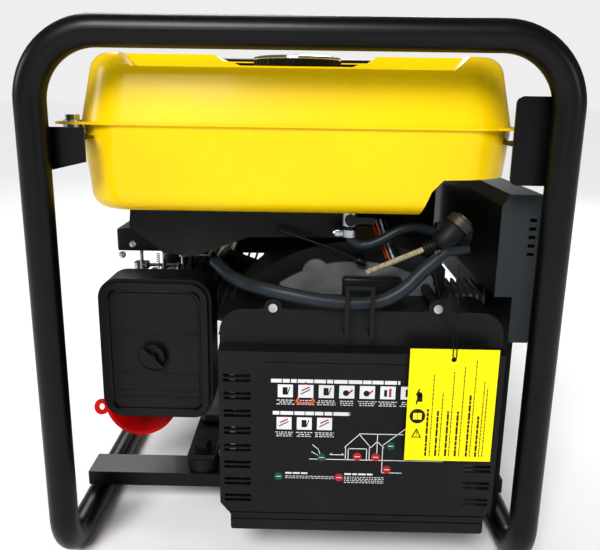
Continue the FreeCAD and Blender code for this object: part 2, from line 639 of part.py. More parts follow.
def carburettor_parts():
    bore = [V(INTAKE_X, CARB_Y0, INTAKE_Z), V(INTAKE_X, CARB_Y1, INTAKE_Z)]
    body = rod(bore[0], bore[1], 18)
    block = rounded(box(INTAKE_X - 20, -152, INTAKE_Z - 24, INTAKE_X + 20, -110, INTAKE_Z + 22), 6, "z")
    flange = rounded(box(INTAKE_X - 32, -106, INTAKE_Z - 19, INTAKE_X + 32, -100, INTAKE_Z + 19), 14, "y")
    mouth = rounded(box(INTAKE_X - 30, CARB_Y0, INTAKE_Z - 19, INTAKE_X + 30, CARB_Y0 + 6,
                        INTAKE_Z + 19), 14, "y")
    inlet = rod(V(INTAKE_X + 18, -132, INTAKE_Z - 14), V(INTAKE_X + 42, -132, INTAKE_Z - 14), 4)
    solid = fuse(body, block, flange, mouth, inlet)
    solid = solid.cut(rod(bore[0] - V(0, 1, 0), bore[1] + V(0, 1, 0), 12))
    for y in (THROTTLE_Y, CHOKE_Y):
        solid = solid.cut(rod(V(INTAKE_X, y, INTAKE_Z), V(INTAKE_X, y, INTAKE_Z + 30), 3.3))
    bowl_top = INTAKE_Z - 24
    bowl = rod(V(INTAKE_X, -131, bowl_top - 32), V(INTAKE_X, -131, bowl_top), 23)
    bowl = bowl.makeFillet(6, [edge for edge in bowl.Edges if edge.BoundBox.ZMax < bowl_top - 31])
    bowl = bowl.cut(rod(V(INTAKE_X, -131, bowl_top - 30), V(INTAKE_X, -131, bowl_top + 1), 21))
    screw = hex_prism(V(INTAKE_X, -131, bowl_top - 32), V(0, 0, -1), 12, 5)
    save("carburettor", solid, fuse(bowl, screw))

    shaft = rod(V(INTAKE_X, THROTTLE_Y, INTAKE_Z + 2), V(INTAKE_X, THROTTLE_Y, LINK_Z + 3), 3)
    arm = rounded(box(INTAKE_X - 5, THROTTLE_Y - 5, LINK_Z, INTAKE_X + 32, THROTTLE_Y + 5,
                      LINK_Z + 2), 4.5, "z")
    save("throttle_arm", fuse(shaft, arm))
    shaft = rod(V(INTAKE_X, CHOKE_Y, INTAKE_Z + 2), V(INTAKE_X, CHOKE_Y, LINK_Z - 2), 3)
    arm = rounded(box(INTAKE_X - 46, CHOKE_Y - 5, LINK_Z - 6, INTAKE_X + 5, CHOKE_Y + 5,
                      LINK_Z - 4), 4.5, "z")
    grip = rounded(box(INTAKE_X - 56, CHOKE_Y - 8, LINK_Z - 9, INTAKE_X - 38, CHOKE_Y + 8,
                       LINK_Z - 1), 5, "z")
    save("choke_lever", fuse(shaft, arm, grip))

    plate = box(-222, -168, 324, -138, -96, 326.5)
    legs = [box(x, -158, INTAKE_Z + 22, x + 3, -154, 324) for x in (-170, -134)]
    feet = [box(-170, -158, INTAKE_Z + 22, -160, -150, INTAKE_Z + 24),
            box(-144, -158, INTAKE_Z + 22, -131, -150, INTAKE_Z + 24)]
    plate = plate.fuse(box(-138, -168, 324, -131, -96, 326.5))
    bracket = fuse(plate, *legs, *feet)
    case = rounded(box(-224, -166, 326.5, -152, -98, 352), 4, "z")
    hollow = rounded(box(-222, -164, 325, -154, -100, 350), 3, "z")
    slope = prism([(-240, 347), (-206, 352.6), (-240, 360)], "y", -170, -90)
    cut_right = prism([(-150, 320), (-168, 352), (-150, 352)], "y", -170, -90)
    save("linkage_cover", case.cut(hollow).cut(slope).cut(cut_right), bracket)


KNOB_X, KNOB_Z = -163.0, 220.0
BASE_Y = -196.0


def filter_outline(margin, y0, y1):
    block = box(FILTER_X0 + margin, y0, FILTER_Z0 + margin, FILTER_X1 - margin, y1,
                FILTER_Z1 - margin)
    return rounded(block, 24 - margin * 0.6, "y")


def filter_parts():
    base = filter_outline(2, BASE_Y - 3, BASE_Y)
    neck = rod(V(INTAKE_X, BASE_Y - 1, INTAKE_Z), V(INTAKE_X, CARB_Y0, INTAKE_Z), 22)
    stud = rod(V(KNOB_X, BASE_Y, KNOB_Z), V(KNOB_X, FILTER_FRONT - 5, KNOB_Z), 3)
    base = fuse(base, neck, stud)
    base = base.cut(rod(V(INTAKE_X, BASE_Y - 5, INTAKE_Z), V(INTAKE_X, CARB_Y0 + 1, INTAKE_Z), 16))
    save("air_filter_base", base)
    foam = filter_outline(9, BASE_Y - 40, BASE_Y - 3)
    foam = foam.cut(filter_outline(24, BASE_Y - 41, BASE_Y))
    save("air_filter_element", foam)

    shell = filter_outline(0, FILTER_FRONT + 6, BASE_Y - 3.3)
    lid = filter_outline(4, FILTER_FRONT, FILTER_FRONT + 6)
    shell = fuse(shell, lid)
    hollow = fuse(filter_outline(3, FILTER_FRONT + 9, BASE_Y),
                  filter_outline(7, FILTER_FRONT + 3, FILTER_FRONT + 9))
    shell = shell.cut(hollow)
    frame_line = filter_outline(12, FILTER_FRONT - 1, FILTER_FRONT + 1.2)
    frame_line = frame_line.cut(filter_outline(15, FILTER_FRONT - 1, FILTER_FRONT + 1.2))
    shell = shell.cut(frame_line)
    dish = ring(V(KNOB_X, FILTER_FRONT - 0.5, KNOB_Z), V(KNOB_X, FILTER_FRONT + 1.2, KNOB_Z), 19, 16.5)
    shell = shell.cut(dish)
    save("air_filter_cover",
         shell.cut(rod(V(KNOB_X, FILTER_FRONT - 1, KNOB_Z), V(KNOB_X, FILTER_FRONT + 5, KNOB_Z), 4)))
    knob_y = FILTER_FRONT - GAP
    disc = rod(V(KNOB_X, knob_y, KNOB_Z), V(KNOB_X, knob_y - 4, KNOB_Z), 15)
    bar = rounded(box(-13.5, knob_y - 13, -3.5, 13.5, knob_y - 3, 3.5), 3, "y")
    bar.rotate(V(0, 0, 0), V(0, 1, 0), 45)
    knob = fuse(disc, bar.translated(V(KNOB_X, 0, KNOB_Z)))
    save("air_filter_knob", knob.cut(rod(V(KNOB_X, knob_y + 1, KNOB_Z),
                                         V(KNOB_X, FILTER_FRONT - 6, KNOB_Z), 3.3)))


# ---- alternator ---------------------------------------------------------------------
STATOR_Y0, STATOR_Y1 = 92.0, 236.0
ROTOR_R = 66.0


def alternator_parts():
    save("stator", ring(on_crank(STATOR_Y0), on_crank(STATOR_Y1), STATOR_R, ROTOR_R + 1.5))
    core = ring(on_crank(STATOR_Y0 + 12), on_crank(STATOR_Y1 - 12), ROTOR_R, 15)
    shaft = rod(on_crank(92), on_crank(STATOR_Y1 + 26), 15)
    save("rotor", fuse(core, shaft))
    bell = rod(on_crank(STATOR_Y1), on_crank(STATOR_Y1 + 14), STATOR_R)
    bell = bell.cut(rod(on_crank(STATOR_Y1 - 1), on_crank(STATOR_Y1 + 20), BEARING_R))
    for k in range(6):
        angle = math.radians(60 * k)
        x, z = CRANK_X + 60 * math.cos(angle), CRANK_Z + 60 * math.sin(angle)
        bell = bell.cut(rod(V(x, STATOR_Y1 - 1, z), V(x, STATOR_Y1 + 15, z), 15))
    save("alternator_end_bell", bell)
    cap = rod(on_crank(STATOR_Y1 + 14), on_crank(STATOR_Y1 + 46), STATOR_R - 6)
    cap = cap.makeFillet(12, [e for e in cap.Edges if e.BoundBox.YMin > STATOR_Y1 + 45.9])
    inner = rod(on_crank(STATOR_Y1 + 13), on_crank(STATOR_Y1 + 43.5), STATOR_R - 9)
    inner = inner.makeFillet(10, [e for e in inner.Edges if e.BoundBox.YMin > STATOR_Y1 + 43.4])
    cap = cap.cut(inner)
    for k in range(-4, 5):
        cap = cap.cut(box(CRANK_X + 14 * k - 2, STATOR_Y1 + 40, CRANK_Z - 50,
                          CRANK_X + 14 * k + 2, STATOR_Y1 + 50, CRANK_Z + 50))
    save("alternator_end_cover", cap)


# ---- front cover and what hangs on it -------------------------------------------------
COVER_BACK = -262.0
COVER_WALL = 2.5
SHOULDER_Z = 258.0
SHOULDER_Y = -322.0
TABS = ((-23.0, 302.0), (144.0, 304.0))
LOUVRE_TOP, LOUVRE_PITCH, LOUVRE_ROWS = 234.5, 19.7, 8


def cover_block(margin):
    """Solid outside of the cover, or its inside when a margin is given."""
    x0, x1 = COVER_X0 + margin, COVER_X1 - margin
    z0, z1 = COVER_Z0 + margin, COVER_Z1 - margin
    front = COVER_FRONT + margin
    side = [(x0, z1), (x1, z1), (x1, 86), (x1 - 8, 72), (x1 - 8, z0), (x0 + 11, z0),
            (x0 + 11, 72), (x0, 86)]
    face = rounded(prism(side, "y", front, COVER_BACK), 3, "y")
    shoulder = prism([(front - 5, SHOULDER_Z - margin), (SHOULDER_Y + margin, SHOULDER_Z - margin + 5),
                      (SHOULDER_Y + margin, z1 + 10), (front - 5, z1 + 10)], "x", x0 - 1, x1 + 1)
    return face.cut(shoulder)


def cover_parts():
    outer = cover_block(0)
    inner = cover_block(COVER_WALL).translated(V(0, 1.5, 0))
    trim = box(COVER_X0 - 5, -400, COVER_Z1 - 26, COVER_X1 + 5, -200, COVER_Z1 + 5)
    trim = trim.cut(rounded(box(COVER_X0, -401, 150, COVER_X1, -199, COVER_Z1), 25, "y"))
    shell = outer.cut(inner).cut(trim)
    liner = rounded(box(COVER_X0, COVER_FRONT, 150, COVER_X1, COVER_BACK, COVER_Z1), 25, "y")
    liner = liner.cut(rounded(box(COVER_X0 + 2.5, -400, 149, COVER_X1 - 2.5, -200,
                                  COVER_Z1 - 2.5), 22.5, "y"))
    liner = liner.common(outer)
    shell = shell.fuse(liner).removeSplitter()
    for x, z in TABS:
        ear = rod(V(x, SHOULDER_Y, z), V(x, SHOULDER_Y + 4, z), 9)
        root = box(x - 14, SHOULDER_Y, COVER_Z1 - 3, x + 14, SHOULDER_Y + 4, COVER_Z1 + 1)
        post = rod(V(x, SHOULDER_Y, z), V(x, SHROUD_FRONT - 6, z), 5.5)
        shell = shell.fuse(fuse(ear, root, post))
    for x, z in ((-50.0, 92.0), (140.0, 90.0)):
        shell = shell.fuse(rod(V(x, COVER_FRONT + 1, z), V(x, SHROUD_FRONT - 6, z), 5.5))
    for x, z in TABS:
        shell = shell.cut(rod(V(x, SHOULDER_Y - 1, z), V(x, SHOULDER_Y + 14, z), 2.5))
    for x0, x1 in ((COVER_X0 + 5, COVER_X0 + 33), (COVER_X1 - 33, COVER_X1 - 5)):
        for row in range(LOUVRE_ROWS):
            z = LOUVRE_TOP - LOUVRE_PITCH * row
            for drop in (0, 5.4):
                shell = shell.cut(box(x0, COVER_FRONT - 1, z - drop - 3.2, x1, COVER_FRONT + 6,
                                      z - drop))
    for z in (66.0, 74.0):
        shell = shell.cut(box(COVER_X0 + 5, COVER_FRONT - 1, z, COVER_X1 - 5, COVER_FRONT + 1, z + 1.6))
    toward = V(0, 1, 0)
    screws = []
    for x, z in TABS:
        head = rod(V(x, SHOULDER_Y, z), V(x, SHOULDER_Y - 3, z), 4.6)
        screws.append(fuse(head, rod(V(x, SHOULDER_Y, z), V(x, SHOULDER_Y, z) + toward * 12, 2.4)))
    save("cover_screws", *screws)
    plate = box(-31, COVER_FRONT - 1, 106, 160, COVER_FRONT, 248)
    save("instruction_plate", rounded(plate, 3, "y"))
    bar_y = COVER_FRONT - 5
    legs = [box(x, bar_y, 277, x + 4, bar_y + 2.5, 331) for x in (49, 74)]
    top = box(49, bar_y, 327, 78, bar_y + 2.5, 331)
    feet = [box(x, bar_y, 277, x + 4, SHOULDER_Y, 281) for x in (49, 74)]
    save("front_cover", shell.removeSplitter(), fuse(top, *legs, *feet))


# ---- fuel line, hoses and wires -------------------------------------------------------
HOSE_R = 7.0
FUEL_HOSE_R = 5.6
TAP_Z = 391.0             # where the tap leaves the tank's belly

# Ventilation hose, from the crankcase past the air filter, over the cover to its connector.
LONG_HOSE = [V(-93, -88, 271), V(-93, -112, 276), V(-96, -144, 294), V(-99, -178, 314),
             V(-97, -210, 322), V(-84, -246, 322), V(-68, -286, 323), V(-44, -316, 322),
             V(-10, -327, 318), V(26, -330, 312), V(60, -330, 309.5), V(88, -328, 312),
             V(110, -325, 325), V(124, -321, 340), V(142, -315, 354)]
# Fuel hose, from the tap under the tank to the fuel pump on the right.
FUEL_HOSE = [V(56, -258, 376.4), V(56, -258, 361), V(66, -258, 353.5), V(80, -258, 355.5),
             V(94, -257, 362), V(107, -256, 370.5), V(121, -254, 375), V(136, -252, 373),
             V(150, -250, 368)]
# Thin wires from under the tank down to the fan housing.
WIRE_TOPS = [V(80, -243, 381), V(85, -244, 381), V(90, -244, 381), V(95, -245, 381)]
WIRE_FEET = [V(99, -245, 337), V(103, -246, 335), V(108, -246, 334), V(117, -247, 333)]
WIRE_R = 1.3
# Sleeved starter lead, from the boot down to the casting.
LEAD = [V(134, -276, 355), V(104, -273, 341), V(75, -270, 327)]
LEAD_R = 3.2
# Stop switch cable, along the top of the fan housing down to its plug.
STOP_CABLE = [V(-24, -245, 368), V(10, -248, 358), V(47, -251, 345), V(66, -253, 337)]


def fuel_line_parts():
    """Tap with a quarter-turn lever, the fuel hose with its pump, the ventilation hose."""
    top = V(TAP_X, TAP_Y, TAP_Z)
    stem = fuse(rod(top - V(0, 0, 4), top + V(0, 0, 5), 5.8),
                rod(top - V(0, 0, 14.5), top, 9),
                rod(top - V(0, 0, 23), top - V(0, 0, 12), 3.8))
    pivot = V(TAP_X, TAP_Y - 12, TAP_Z - 7)
    barrel = rod(pivot, V(TAP_X, TAP_Y, TAP_Z - 7), 6)
    body = fuse(stem, barrel).cut(rod(pivot - V(0, 1, 0), pivot + V(0, 8, 0), 3.3))
    body = body.cut(flange_bore(top))
    save("fuel_tap", body)
    face = pivot - V(0, GAP, 0)
    hub = rod(face, face - V(0, 4, 0), 6)
    pin = rod(face, face + V(0, 7, 0), 3)
    blade = rounded(box(TAP_X, face.y - 4, pivot.z - 3.5, TAP_X + 26, face.y, pivot.z + 3.5), 3, "y")
    save("fuel_tap_lever", fuse(hub, pin, blade))

    radii = easy_radii(FUEL_HOSE)
    hose = tube(FUEL_HOSE, radii, FUEL_HOSE_R).cut(tube(FUEL_HOSE, radii, 3.9))
    pump = rod(V(150, -249, 368), V(188, -249, 368), 12)
    save("fuel_hose", hose.cut(pump), pump)
    end = LONG_HOSE[-1]
    way = (LONG_HOSE[-1] - LONG_HOSE[-2]).normalize()
    elbow = tube([end, end + way * 10, end + way * 10 + V(24, 6, 3)], [5], 4.5)
    save("breather_hose", cord("breather_hose", LONG_HOSE, HOSE_R), elbow)


def flange_bore(top):
    """Fuel passage down the tap's stem, as a cutter."""
    return rod(top - V(0, 0, 40), top - V(0, 0, 15), 2)


def lead_parts():
    """Wires on the engine: thin loom, sleeved lead, stop cable; then boot and solenoid."""
    wires = []
    for top, foot in zip(WIRE_TOPS, WIRE_FEET):
        middle = (top + foot) * 0.5 + V(-2, -2, 1)
        wires.append(tube([top, middle, foot], easy_radii([top, middle, foot]), WIRE_R))
    lead = tube(LEAD, easy_radii(LEAD), LEAD_R)
    place = STOP_CABLE[-1]
    way = (STOP_CABLE[-1] - STOP_CABLE[-2]).normalize()
    cable = fuse(tube(STOP_CABLE, easy_radii(STOP_CABLE), 1.6), rod(place, place + way * 10, 4.5))
    igniter = rounded(box(50, -262, 286, 116, SHROUD_FRONT - 6, 318), 5, "y")
    save("wiring", *wires, lead, cable, igniter)

    way = (LEAD[0] - LEAD[1]).normalize()
    neck = rod(LEAD[0], LEAD[0] + way * 14, 5.5)
    for k in range(4):
        ridge = LEAD[0] + way * (1 + 3.4 * k)
        neck = neck.fuse(rod(ridge, ridge + way * 1.8, 7))
    elbow = LEAD[0] + way * 14
    up = V(0.66, 0.1, 0.74).normalize()
    root = elbow + way * 8
    base = root + up * 20
    hood = fuse(neck, rod(elbow, elbow + way * 12, 5.5, 12), rod(root, base, 13))
    solenoid = fuse(rod(base, base + up * 10, 15), rod(base + up * 10, base + up * 13, 10))
    save("starter_solenoid", hood.removeSplitter(), solenoid)


# ---- control box --------------------------------------------------------------------
BOX_Y0, BOX_Y1 = -286.0, 250.0
PANEL_X = 250.0
PANEL_SHEET = 2.0
FLAP_R = 27.0
OUTLET_Z = 300.0
OUTLET_Y = (10.0, 130.0)
METER_Y, METER_Z = -196.0, 366.0
KEY_Y, KEY_Z = -196.0, 296.0
BREAKER_Y, BREAKER_Z = -110.0, 366.0
GROUND_Y, GROUND_Z = 222.0, 282.0


def control_box():
    outline = [(210, 307), (210, 404), (218, 416), (PANEL_X, 416), (PANEL_X, 256), (229, 256), (229, 307)]
    outer = prism(outline, "y", BOX_Y0, BOX_Y1)
    inner = [(212.5, 309.5), (212.5, 403), (219, 413.5), (PANEL_X + 1, 413.5),
             (PANEL_X + 1, 258.5), (231.5, 258.5), (231.5, 309.5)]
    hollow = prism(inner, "y", BOX_Y0 + 2.5, BOX_Y1 - 2.5)
    shell = outer.cut(hollow)
    for k in range(5):
        z = 388 - 9 * k
        shell = shell.cut(box(240, BOX_Y0 - 1, z, 247, BOX_Y0 + 4, z + 3.5))
    return shell


def panel_openings(plate):
    for y in OUTLET_Y:
        plate = plate.cut(rod(V(PANEL_X - 1, y, OUTLET_Z), V(PANEL_X + 5, y, OUTLET_Z), 22))
    plate = plate.cut(rod(V(PANEL_X - 1, METER_Y, METER_Z), V(PANEL_X + 5, METER_Y, METER_Z), 24))
    plate = plate.cut(rod(V(PANEL_X - 1, KEY_Y, KEY_Z), V(PANEL_X + 5, KEY_Y, KEY_Z), 11))
    plate = plate.cut(box(PANEL_X - 1, BREAKER_Y - 15, BREAKER_Z - 22, PANEL_X + 5, BREAKER_Y + 15,
                          BREAKER_Z + 22))
    return plate.cut(rod(V(PANEL_X - 1, GROUND_Y, GROUND_Z), V(PANEL_X + 5, GROUND_Y, GROUND_Z), 4))


def panel_parts():
    """Box on the long side: faceplate, outlets with flaps, meter, key, breaker, ground."""
    save("control_box", control_box())
    plate = box(PANEL_X, BOX_Y0, 256, PANEL_X + PANEL_SHEET, BOX_Y1, 416)
    plate = panel_openings(rounded(plate, 4, "x"))
    face = PANEL_X + PANEL_SHEET
    stud = fuse(rod(V(PANEL_X - 6, GROUND_Y, GROUND_Z), V(face + 12, GROUND_Y, GROUND_Z), 3.8),
                rod(V(face, GROUND_Y, GROUND_Z), V(face + 2, GROUND_Y, GROUND_Z), 9))
    save("control_faceplate", plate, stud)
    outlets = []
    for y in OUTLET_Y:
        cup = rod(V(PANEL_X - 16, y, OUTLET_Z), V(face + 3, y, OUTLET_Z), 21.8)
        lip = rod(V(face, y, OUTLET_Z), V(face + 3, y, OUTLET_Z), 25)
        cup = fuse(cup, lip).cut(rod(V(face - 12, y, OUTLET_Z), V(face + 4, y, OUTLET_Z), 19))
        for side in (-9.5, 9.5):
            cup = cup.cut(rod(V(PANEL_X - 15, y + side, OUTLET_Z), V(face, y + side, OUTLET_Z), 2.4))
        ears = [box(face, y - 15, OUTLET_Z + 26, face + 6.5, y - 11, OUTLET_Z + 34),
                box(face, y + 11, OUTLET_Z + 26, face + 6.5, y + 15, OUTLET_Z + 34),
                box(face, y - 15, OUTLET_Z + 20, face + 2, y + 15, OUTLET_Z + 34)]
        cup = fuse(cup, *ears).cut(rod(V(face - 12, y, OUTLET_Z), V(face + 4, y, OUTLET_Z), 19))
        outlets.append(cup.cut(rod(V(face + 4.5, y - 16, OUTLET_Z + 31),
                                   V(face + 4.5, y + 16, OUTLET_Z + 31), 1.2)))
    for name, y in zip(("front", "rear"), OUTLET_Y):
        lid = rod(V(face + 3.3, y, OUTLET_Z), V(face + 6.3, y, OUTLET_Z), FLAP_R - 1)
        arm = box(face + 3.3, y - 10.5, OUTLET_Z + 18, face + 6.3, y + 10.5, OUTLET_Z + 31)
        barrel = rod(V(face + 4.5, y - 10.5, OUTLET_Z + 31), V(face + 4.5, y + 10.5, OUTLET_Z + 31), 2.2)
        pin = rod(V(face + 4.5, y - 15, OUTLET_Z + 31), V(face + 4.5, y + 15, OUTLET_Z + 31), 1.2)
        lip = box(face + 3.3, y - 7, OUTLET_Z - FLAP_R - 3, face + 5.5, y + 7, OUTLET_Z - FLAP_R + 4)
        save("outlet_flap_" + name, fuse(lid, arm, barrel, pin, lip))
    meter = rod(V(PANEL_X - 22, METER_Y, METER_Z), V(face, METER_Y, METER_Z), 23.8)
    bezel = rod(V(face, METER_Y, METER_Z), V(face + 5, METER_Y, METER_Z), 28)
    well = rod(V(face + 1, METER_Y, METER_Z), V(face + 6, METER_Y, METER_Z), 24)
    lens = rod(V(face + 3, METER_Y, METER_Z), V(face + 4.5, METER_Y, METER_Z), 24)
    save("voltmeter", fuse(meter, bezel).cut(well), lens)
    barrel = rod(V(PANEL_X - 16, KEY_Y, KEY_Z), V(face + 5, KEY_Y, KEY_Z), 10.8)
    nut = rod(V(face, KEY_Y, KEY_Z), V(face + 3, KEY_Y, KEY_Z), 15)
    lock = fuse(barrel, nut).cut(rod(V(PANEL_X - 10, KEY_Y, KEY_Z), V(face + 6, KEY_Y, KEY_Z), 4.3))
    blade = rod(V(PANEL_X - 9, KEY_Y, KEY_Z), V(face + 6, KEY_Y, KEY_Z), 4)
    grip = rounded(box(face + 5.4, KEY_Y - 2, KEY_Z - 11, face + 12.5, KEY_Y + 2, KEY_Z + 11), 3, "y")
    save("ignition_key", fuse(blade, grip))
    housing = box(PANEL_X - 30, BREAKER_Y - 14.8, BREAKER_Z - 21.8, face, BREAKER_Y + 14.8,
                  BREAKER_Z + 21.8)
    rim = box(face, BREAKER_Y - 18, BREAKER_Z - 25, face + 2.5, BREAKER_Y + 18, BREAKER_Z + 25)
    pocket = box(PANEL_X - 22, BREAKER_Y - 12, BREAKER_Z - 18, face + 3, BREAKER_Y + 12, BREAKER_Z + 18)
    save("panel_fittings", *outlets, lock, fuse(housing, rounded(rim, 3, "x")).cut(pocket))
    outline = [(face - 12, -16), (face - 12, 16), (face + 2, 16), (face - 0.5, 0), (face + 5.5, -16)]
    rocker = prism([(x, BREAKER_Z + z) for x, z in outline], "y", BREAKER_Y - 11.5, BREAKER_Y + 11.5)
    save("breaker_rocker", rocker.common(
        rod(V(face - 8, BREAKER_Y - 12, BREAKER_Z), V(face - 8, BREAKER_Y + 12, BREAKER_Z), 17.4)
        .fuse(box(face - 2, BREAKER_Y - 12, BREAKER_Z - 15, face + 6, BREAKER_Y + 12, BREAKER_Z + 15))))
    nut = rod(V(face + 2.3, GROUND_Y, GROUND_Z), V(face + 9, GROUND_Y, GROUND_Z), 7)
    wings = rounded(box(face + 4, GROUND_Y - 15, GROUND_Z - 2,
                        face + 11, GROUND_Y + 15, GROUND_Z + 2), 3, "z")
    bore = rod(V(face, GROUND_Y, GROUND_Z), V(face + 13, GROUND_Y, GROUND_Z), 4.1)
    save("ground_wing_nut", fuse(nut, wings).cut(bore))
    fins = box(174, -196, 250, 227, -120, 256)
    for k in range(7):
        fins = fins.fuse(box(174 + 8 * k, -196, 256, 177 + 8 * k, -120, 284))
    bracket = box(227, -180, 252, 229, -136, 307)
    save("regulator_rectifier", fuse(fins, bracket))


# ---- funnel and hang tag --------------------------------------------------------------
TAG_Y = -344.9
TAG_HOLE = V(159, TAG_Y, 258)
TAG_THICK = 0.6
STRING_R = 0.6
# One string: from the hose down through the tag's hole and up to the connector again.
STRING = [V(137, -325, 344), V(140, -331, 329), V(145, -335, 314), V(151, -339, 300),
          V(156, -342.5, 287), V(157.2, -345.4, 276), V(157.2, -346.3, 267), V(157.3, -346.5, 261),
          V(158.5, -346.5, 258.6), V(160, -346.5, 258.8), V(160.9, -346.5, 261.2),
          V(160.9, -346.3, 267), V(160.6, -345.4, 276), V(159.6, -342.5, 287), V(160.2, -338, 301),
          V(161, -333, 317),
          V(162, -327, 334), V(163, -319, 349)]
FUNNEL_MOUTH = V(-197, -187, 141)
FUNNEL_WAY = V(0.15, 0.93, -0.33)


def funnel_part():
    """Oil funnel: wide rim, cone and spout, hung behind the air filter, mouth to the front."""
    way = FreeCAD.Vector(FUNNEL_WAY).normalize()
    mouth = FUNNEL_MOUTH
    cone = rod(mouth, mouth + way * 34, 48, 12)
    inner = rod(mouth - way * 0.01, mouth + way * 34, 46.4, 10.4)
    spout = rod(mouth + way * 34, mouth + way * 64, 12, 7)
    spout_in = rod(mouth + way * 33.9, mouth + way * 65, 10.4, 5.4)
    rim = ring(mouth, mouth + way * 2, 50.5, 45)
    across = way.cross(V(0, 0, 1)).normalize()
    upward = across.cross(way).normalize()
    tab_at = mouth - across * 52 - upward * 20
    tab = ring(tab_at, tab_at + way * 2, 10, 4)
    return fuse(cone.fuse(spout).cut(inner).cut(spout_in), rim.cut(inner), tab.cut(inner))


def loose_parts():
    save("oil_funnel", funnel_part())
    tag = box(115, TAG_Y, 146, 204, TAG_Y + TAG_THICK, 269)
    save("hang_tag", tag.cut(rod(TAG_HOLE - V(0, 2, 0), TAG_HOLE + V(0, 3, 0), 2.6)))
    save("tag_string", cord("tag_string", STRING, STRING_R))


def main():
    os.makedirs("parts", exist_ok=True)
    frame_parts()
    base_parts()
    tank_parts()
    filler_parts()
    tank_fixings()
    bed_parts()
    engine_parts()
    crank_parts()
    housing_parts()
    exhaust_parts()
    carburettor_parts()
    filter_parts()
    alternator_parts()
    cover_parts()
    fuel_line_parts()
    lead_parts()
    panel_parts()
    loose_parts()
    print(len(SHAPES), "nodes")


main()
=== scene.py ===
import math
import random

import bmesh
import bpy
from bpy.props import FloatProperty, FloatVectorProperty, IntProperty, PointerProperty
from mathutils import Matrix, Vector


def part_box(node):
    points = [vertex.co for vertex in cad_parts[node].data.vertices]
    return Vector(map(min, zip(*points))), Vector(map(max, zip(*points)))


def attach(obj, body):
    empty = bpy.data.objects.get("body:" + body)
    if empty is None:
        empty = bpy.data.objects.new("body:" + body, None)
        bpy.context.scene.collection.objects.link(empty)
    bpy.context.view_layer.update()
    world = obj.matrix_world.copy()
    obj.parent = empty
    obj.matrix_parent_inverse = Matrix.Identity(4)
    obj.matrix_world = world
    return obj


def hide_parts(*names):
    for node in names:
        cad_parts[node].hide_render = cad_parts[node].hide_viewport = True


bl_info = {
    "name": "Open Frame Generator",
    "version": (1, 0, 0),
    "blender": (4, 5, 0),
    "location": "3D View > Sidebar > Generator",
    "description": "Finishes and small parts of an open frame generator",
    "category": "Object",
}

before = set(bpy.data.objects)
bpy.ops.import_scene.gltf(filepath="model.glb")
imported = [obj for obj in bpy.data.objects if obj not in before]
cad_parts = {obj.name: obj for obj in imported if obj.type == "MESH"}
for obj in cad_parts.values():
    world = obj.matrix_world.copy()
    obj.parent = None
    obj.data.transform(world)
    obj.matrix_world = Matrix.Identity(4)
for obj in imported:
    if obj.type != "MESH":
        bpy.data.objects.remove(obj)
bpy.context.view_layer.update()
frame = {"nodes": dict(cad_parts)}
NODES = frame["nodes"]
MM = 0.001


def linear(hex_colour):
    """Turn an sRGB hex colour into the linear colour that a shader reads."""
    channels = [int(hex_colour[i:i + 2], 16) / 255 for i in (1, 3, 5)]
    return [c / 12.92 if c <= 0.04045 else ((c + 0.055) / 1.055) ** 2.4 for c in channels]


def tint(name, description, hex_colour):
    return FloatVectorProperty(name=name, description=description, subtype="COLOR", size=3,
                               min=0.0, max=1.0, default=linear(hex_colour))


class FinishSettings(bpy.types.PropertyGroup):
    """Colours of the painted, moulded and printed surfaces."""
    tank: tint("Tank enamel", "Stoved enamel on the fuel tank", "#F7D200")
    frame: tint("Frame coat", "Powder coat on the frame tube", "#070707")
    moulding: tint("Black moulding", "Grained plastic of the covers", "#101112")
    casting: tint("Sand casting", "Cast aluminium of the fan end", "#6E7070")
    funnel: tint("Funnel", "Polyethylene of the oil funnel", "#D00A0A")
    tag: tint("Tag", "Card of the hang tag", "#F7E500")
    hose: tint("Hose", "Rubber of the hoses", "#1E252A")
    panel: tint("Control box", "Painted sheet of the control box", "#33383B")


class SizeSettings(bpy.types.PropertyGroup):
    """Sizes of the small parts that are made here."""
    cap_ribs: IntProperty(name="Cap ribs", description="Grip ribs round the filler cap",
                          default=40, min=12, max=80)
    print_height: FloatProperty(name="Print height", description="Thickness of printed marks",
                                default=0.2 * MM, unit="LENGTH")
    knob_radius: FloatProperty(name="Knob radius", description="Radius of the air filter knob",
                               default=15 * MM, unit="LENGTH")
    clamp_width: FloatProperty(name="Clamp width", description="Width of the hose clamp band",
                               default=8 * MM, unit="LENGTH")


def colours():
    return bpy.context.scene.generator_finishes


def sizes():
    return bpy.context.scene.generator_sizes


# ---- materials ----------------------------------------------------------------------
def add(tree, kind, inputs=None, **settings):
    """Add one node with its settings; each input is a value or the output that feeds it."""
    made = tree.nodes.new("ShaderNode" + kind)
    for key, value in settings.items():
        setattr(made, key, value)
    for key, value in (inputs or {}).items():
        if isinstance(value, bpy.types.NodeSocket):
            tree.links.new(value, made.inputs[key])
        else:
            made.inputs[key].default_value = value
    return made


def rgba(colour):
    return [*colour, 1.0]


